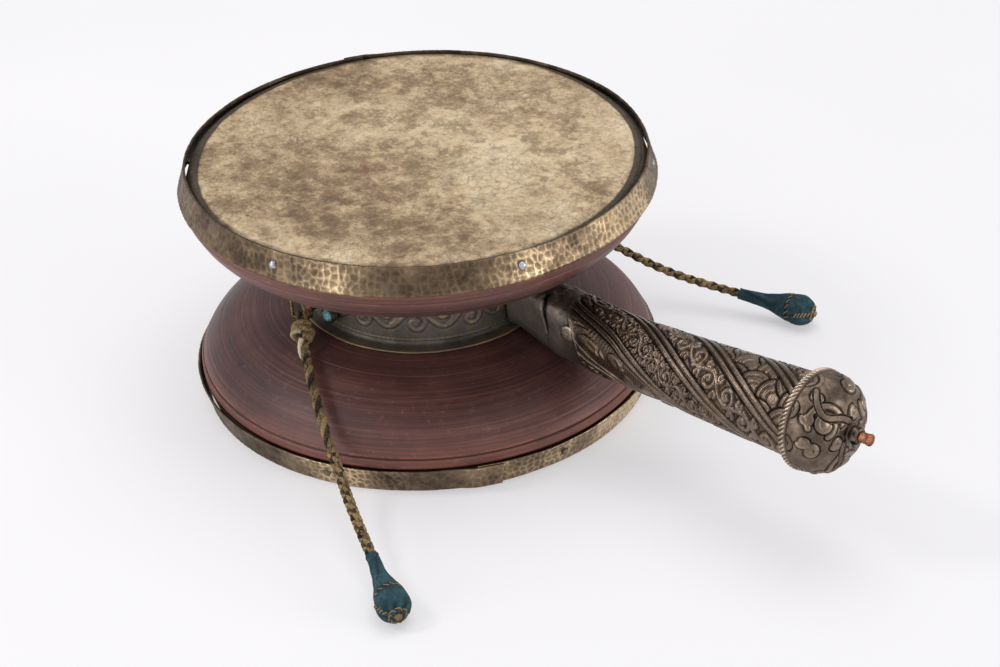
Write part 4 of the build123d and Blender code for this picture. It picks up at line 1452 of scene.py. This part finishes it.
piece("copper_tie_rod", "drum", copper_finish,
      [(on_axis(u, r, turn), False, {})], ["tie_rod"])


# ---- finishes for the CAD pieces that stay
def repaint(finish, *names):
    for name in names:
        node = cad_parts[name]
        node.data.materials.clear()
        node.data.materials.append(finish)
        for face in node.data.polygons:
            face.material_index = 0


repaint(grained(
    "old_bronze_casting", (420.0, 5.0, 0.7, 0.5), ((0.34, 30, 27, 22), (0.5, 72, 62, 46),
    (0.66, 128, 106, 72)), (0.6, 0.36), 0.0005,
    ((70, 96, 88), (0.5, 0.66, 160.0, 4.0, 0.6), 0.6), Metallic=0.85,
), "front_post", "rear_post", "turquoise_bezels")
repaint(grained(
    "drawn_brass", (900.0, 4.0, 0.7, 0.3), ((0.34, 70, 60, 38), (0.52, 132, 116, 76),
    (0.70, 186, 172, 124)), (0.5, 0.28), 0.0002, Metallic=0.95,
), "front_loop", "rear_loop")
repaint(grained(
    "red_coral", (500.0, 4.0, 0.6, 0.4), ((0.36, 74, 18, 18), (0.52, 138, 38, 36),
    (0.70, 188, 78, 66)), (0.42, 0.25), 0.0002, Specular_IOR_Level=0.5, Subsurface_Weight=0.12,
    Subsurface_Radius=(0.002, 0.0005, 0.0004),
), "coral_stones")

f = Finish("veined_turquoise", Specular_IOR_Level=0.5)
depth = f.noise(300.0, 4.0, 0.6, 0.4)
vein = f.calc("ABSOLUTE", f.less(f.noise(420.0, 5.0, 0.7, 1.2), 0.5))
colour = f.ramp(depth, (0.36, 58, 124, 134), (0.52, 104, 172, 180), (0.70, 156, 206, 208))
colour = f.tint(colour, (44, 38, 30), f.span(vein, 0.03, 0.0))
turquoise_finish = f.close(colour, f.span(depth, 0.3, 0.7, 0.38, 0.24), f.bump(vein, 0.0003))
repaint(turquoise_finish, "turquoise_stones")

f = Finish("plain_wood", Specular_IOR_Level=0.3)
grain = f.noise(1.0, 5.0, 0.6, 0.5, f.stretch(25.0, 260.0, 260.0))
colour = f.ramp(grain, (0.34, 74, 46, 26), (0.52, 122, 82, 48), (0.70, 160, 116, 74))
core_finish = f.close(colour, f.span(grain, 0.3, 0.7, 0.85, 0.65), f.bump(grain, 0.0004))
repaint(core_finish, "handle_core", "front_striker_core", "rear_striker_core")

# ---- floor, backdrop and studio light
f = Finish("studio_white", Specular_IOR_Level=0.1, Roughness=0.9, Emission_Strength=0.44,
           Emission_Color=(1.0, 0.985, 1.0, 1))
f.close(f.ramp(f.noise(3.0, 2.0), (0.3, 176, 175, 177), (0.7, 180, 179, 181)))
floor_mesh = bpy.data.meshes.new("floor")
FLOOR_REACH, FLOOR_DROP = 6.0, -0.0004      # metres; just under the drum
floor_mesh.from_pydata([
    (x * FLOOR_REACH, y * FLOOR_REACH, FLOOR_DROP)
    for x, y in ((-1, -1), (1, -1), (1, 1), (-1, 1))
], [], [(0, 1, 2, 3)])
floor_mesh.materials.append(f.made)
floor = bpy.data.objects.new("floor", floor_mesh)
bpy.context.scene.collection.objects.link(floor)


def softbox(name, place, target, size, power):
    """A square area light that looks at a point."""
    lamp = bpy.data.objects.new(name, bpy.data.lights.new(name, "AREA"))
    lamp.data.shape, lamp.data.size, lamp.data.energy = "SQUARE", size, power
    lamp.location = place
    lamp.rotation_mode = "QUATERNION"
    lamp.rotation_quaternion = (Vector(target) - Vector(place)).to_track_quat("-Z", "Y")
    bpy.context.scene.collection.objects.link(lamp)


softbox("overhead", (-0.10, 0.30, 1.5), (0, 0, 0), 1.3, 11.0)
softbox("key", (-0.70, -0.85, 1.20), (0, 0, 0.05), 0.36, 6.0)
softbox("left", (-0.22, -1.35, 0.36), (0, 0, 0.05), 0.66, 4.2)
softbox("right", (1.35, 0.50, 0.36), (0.05, 0, 0.05), 0.66, 7.0)
world = bpy.data.worlds.new("studio")
world.use_nodes = True
sky = world.node_tree.nodes["Background"].inputs
sky["Color"].default_value = (1.0, 1.0, 1.02, 1)
sky["Strength"].default_value = 0.50
bpy.context.scene.world = world
bpy.context.scene.view_settings.view_transform = "Standard"
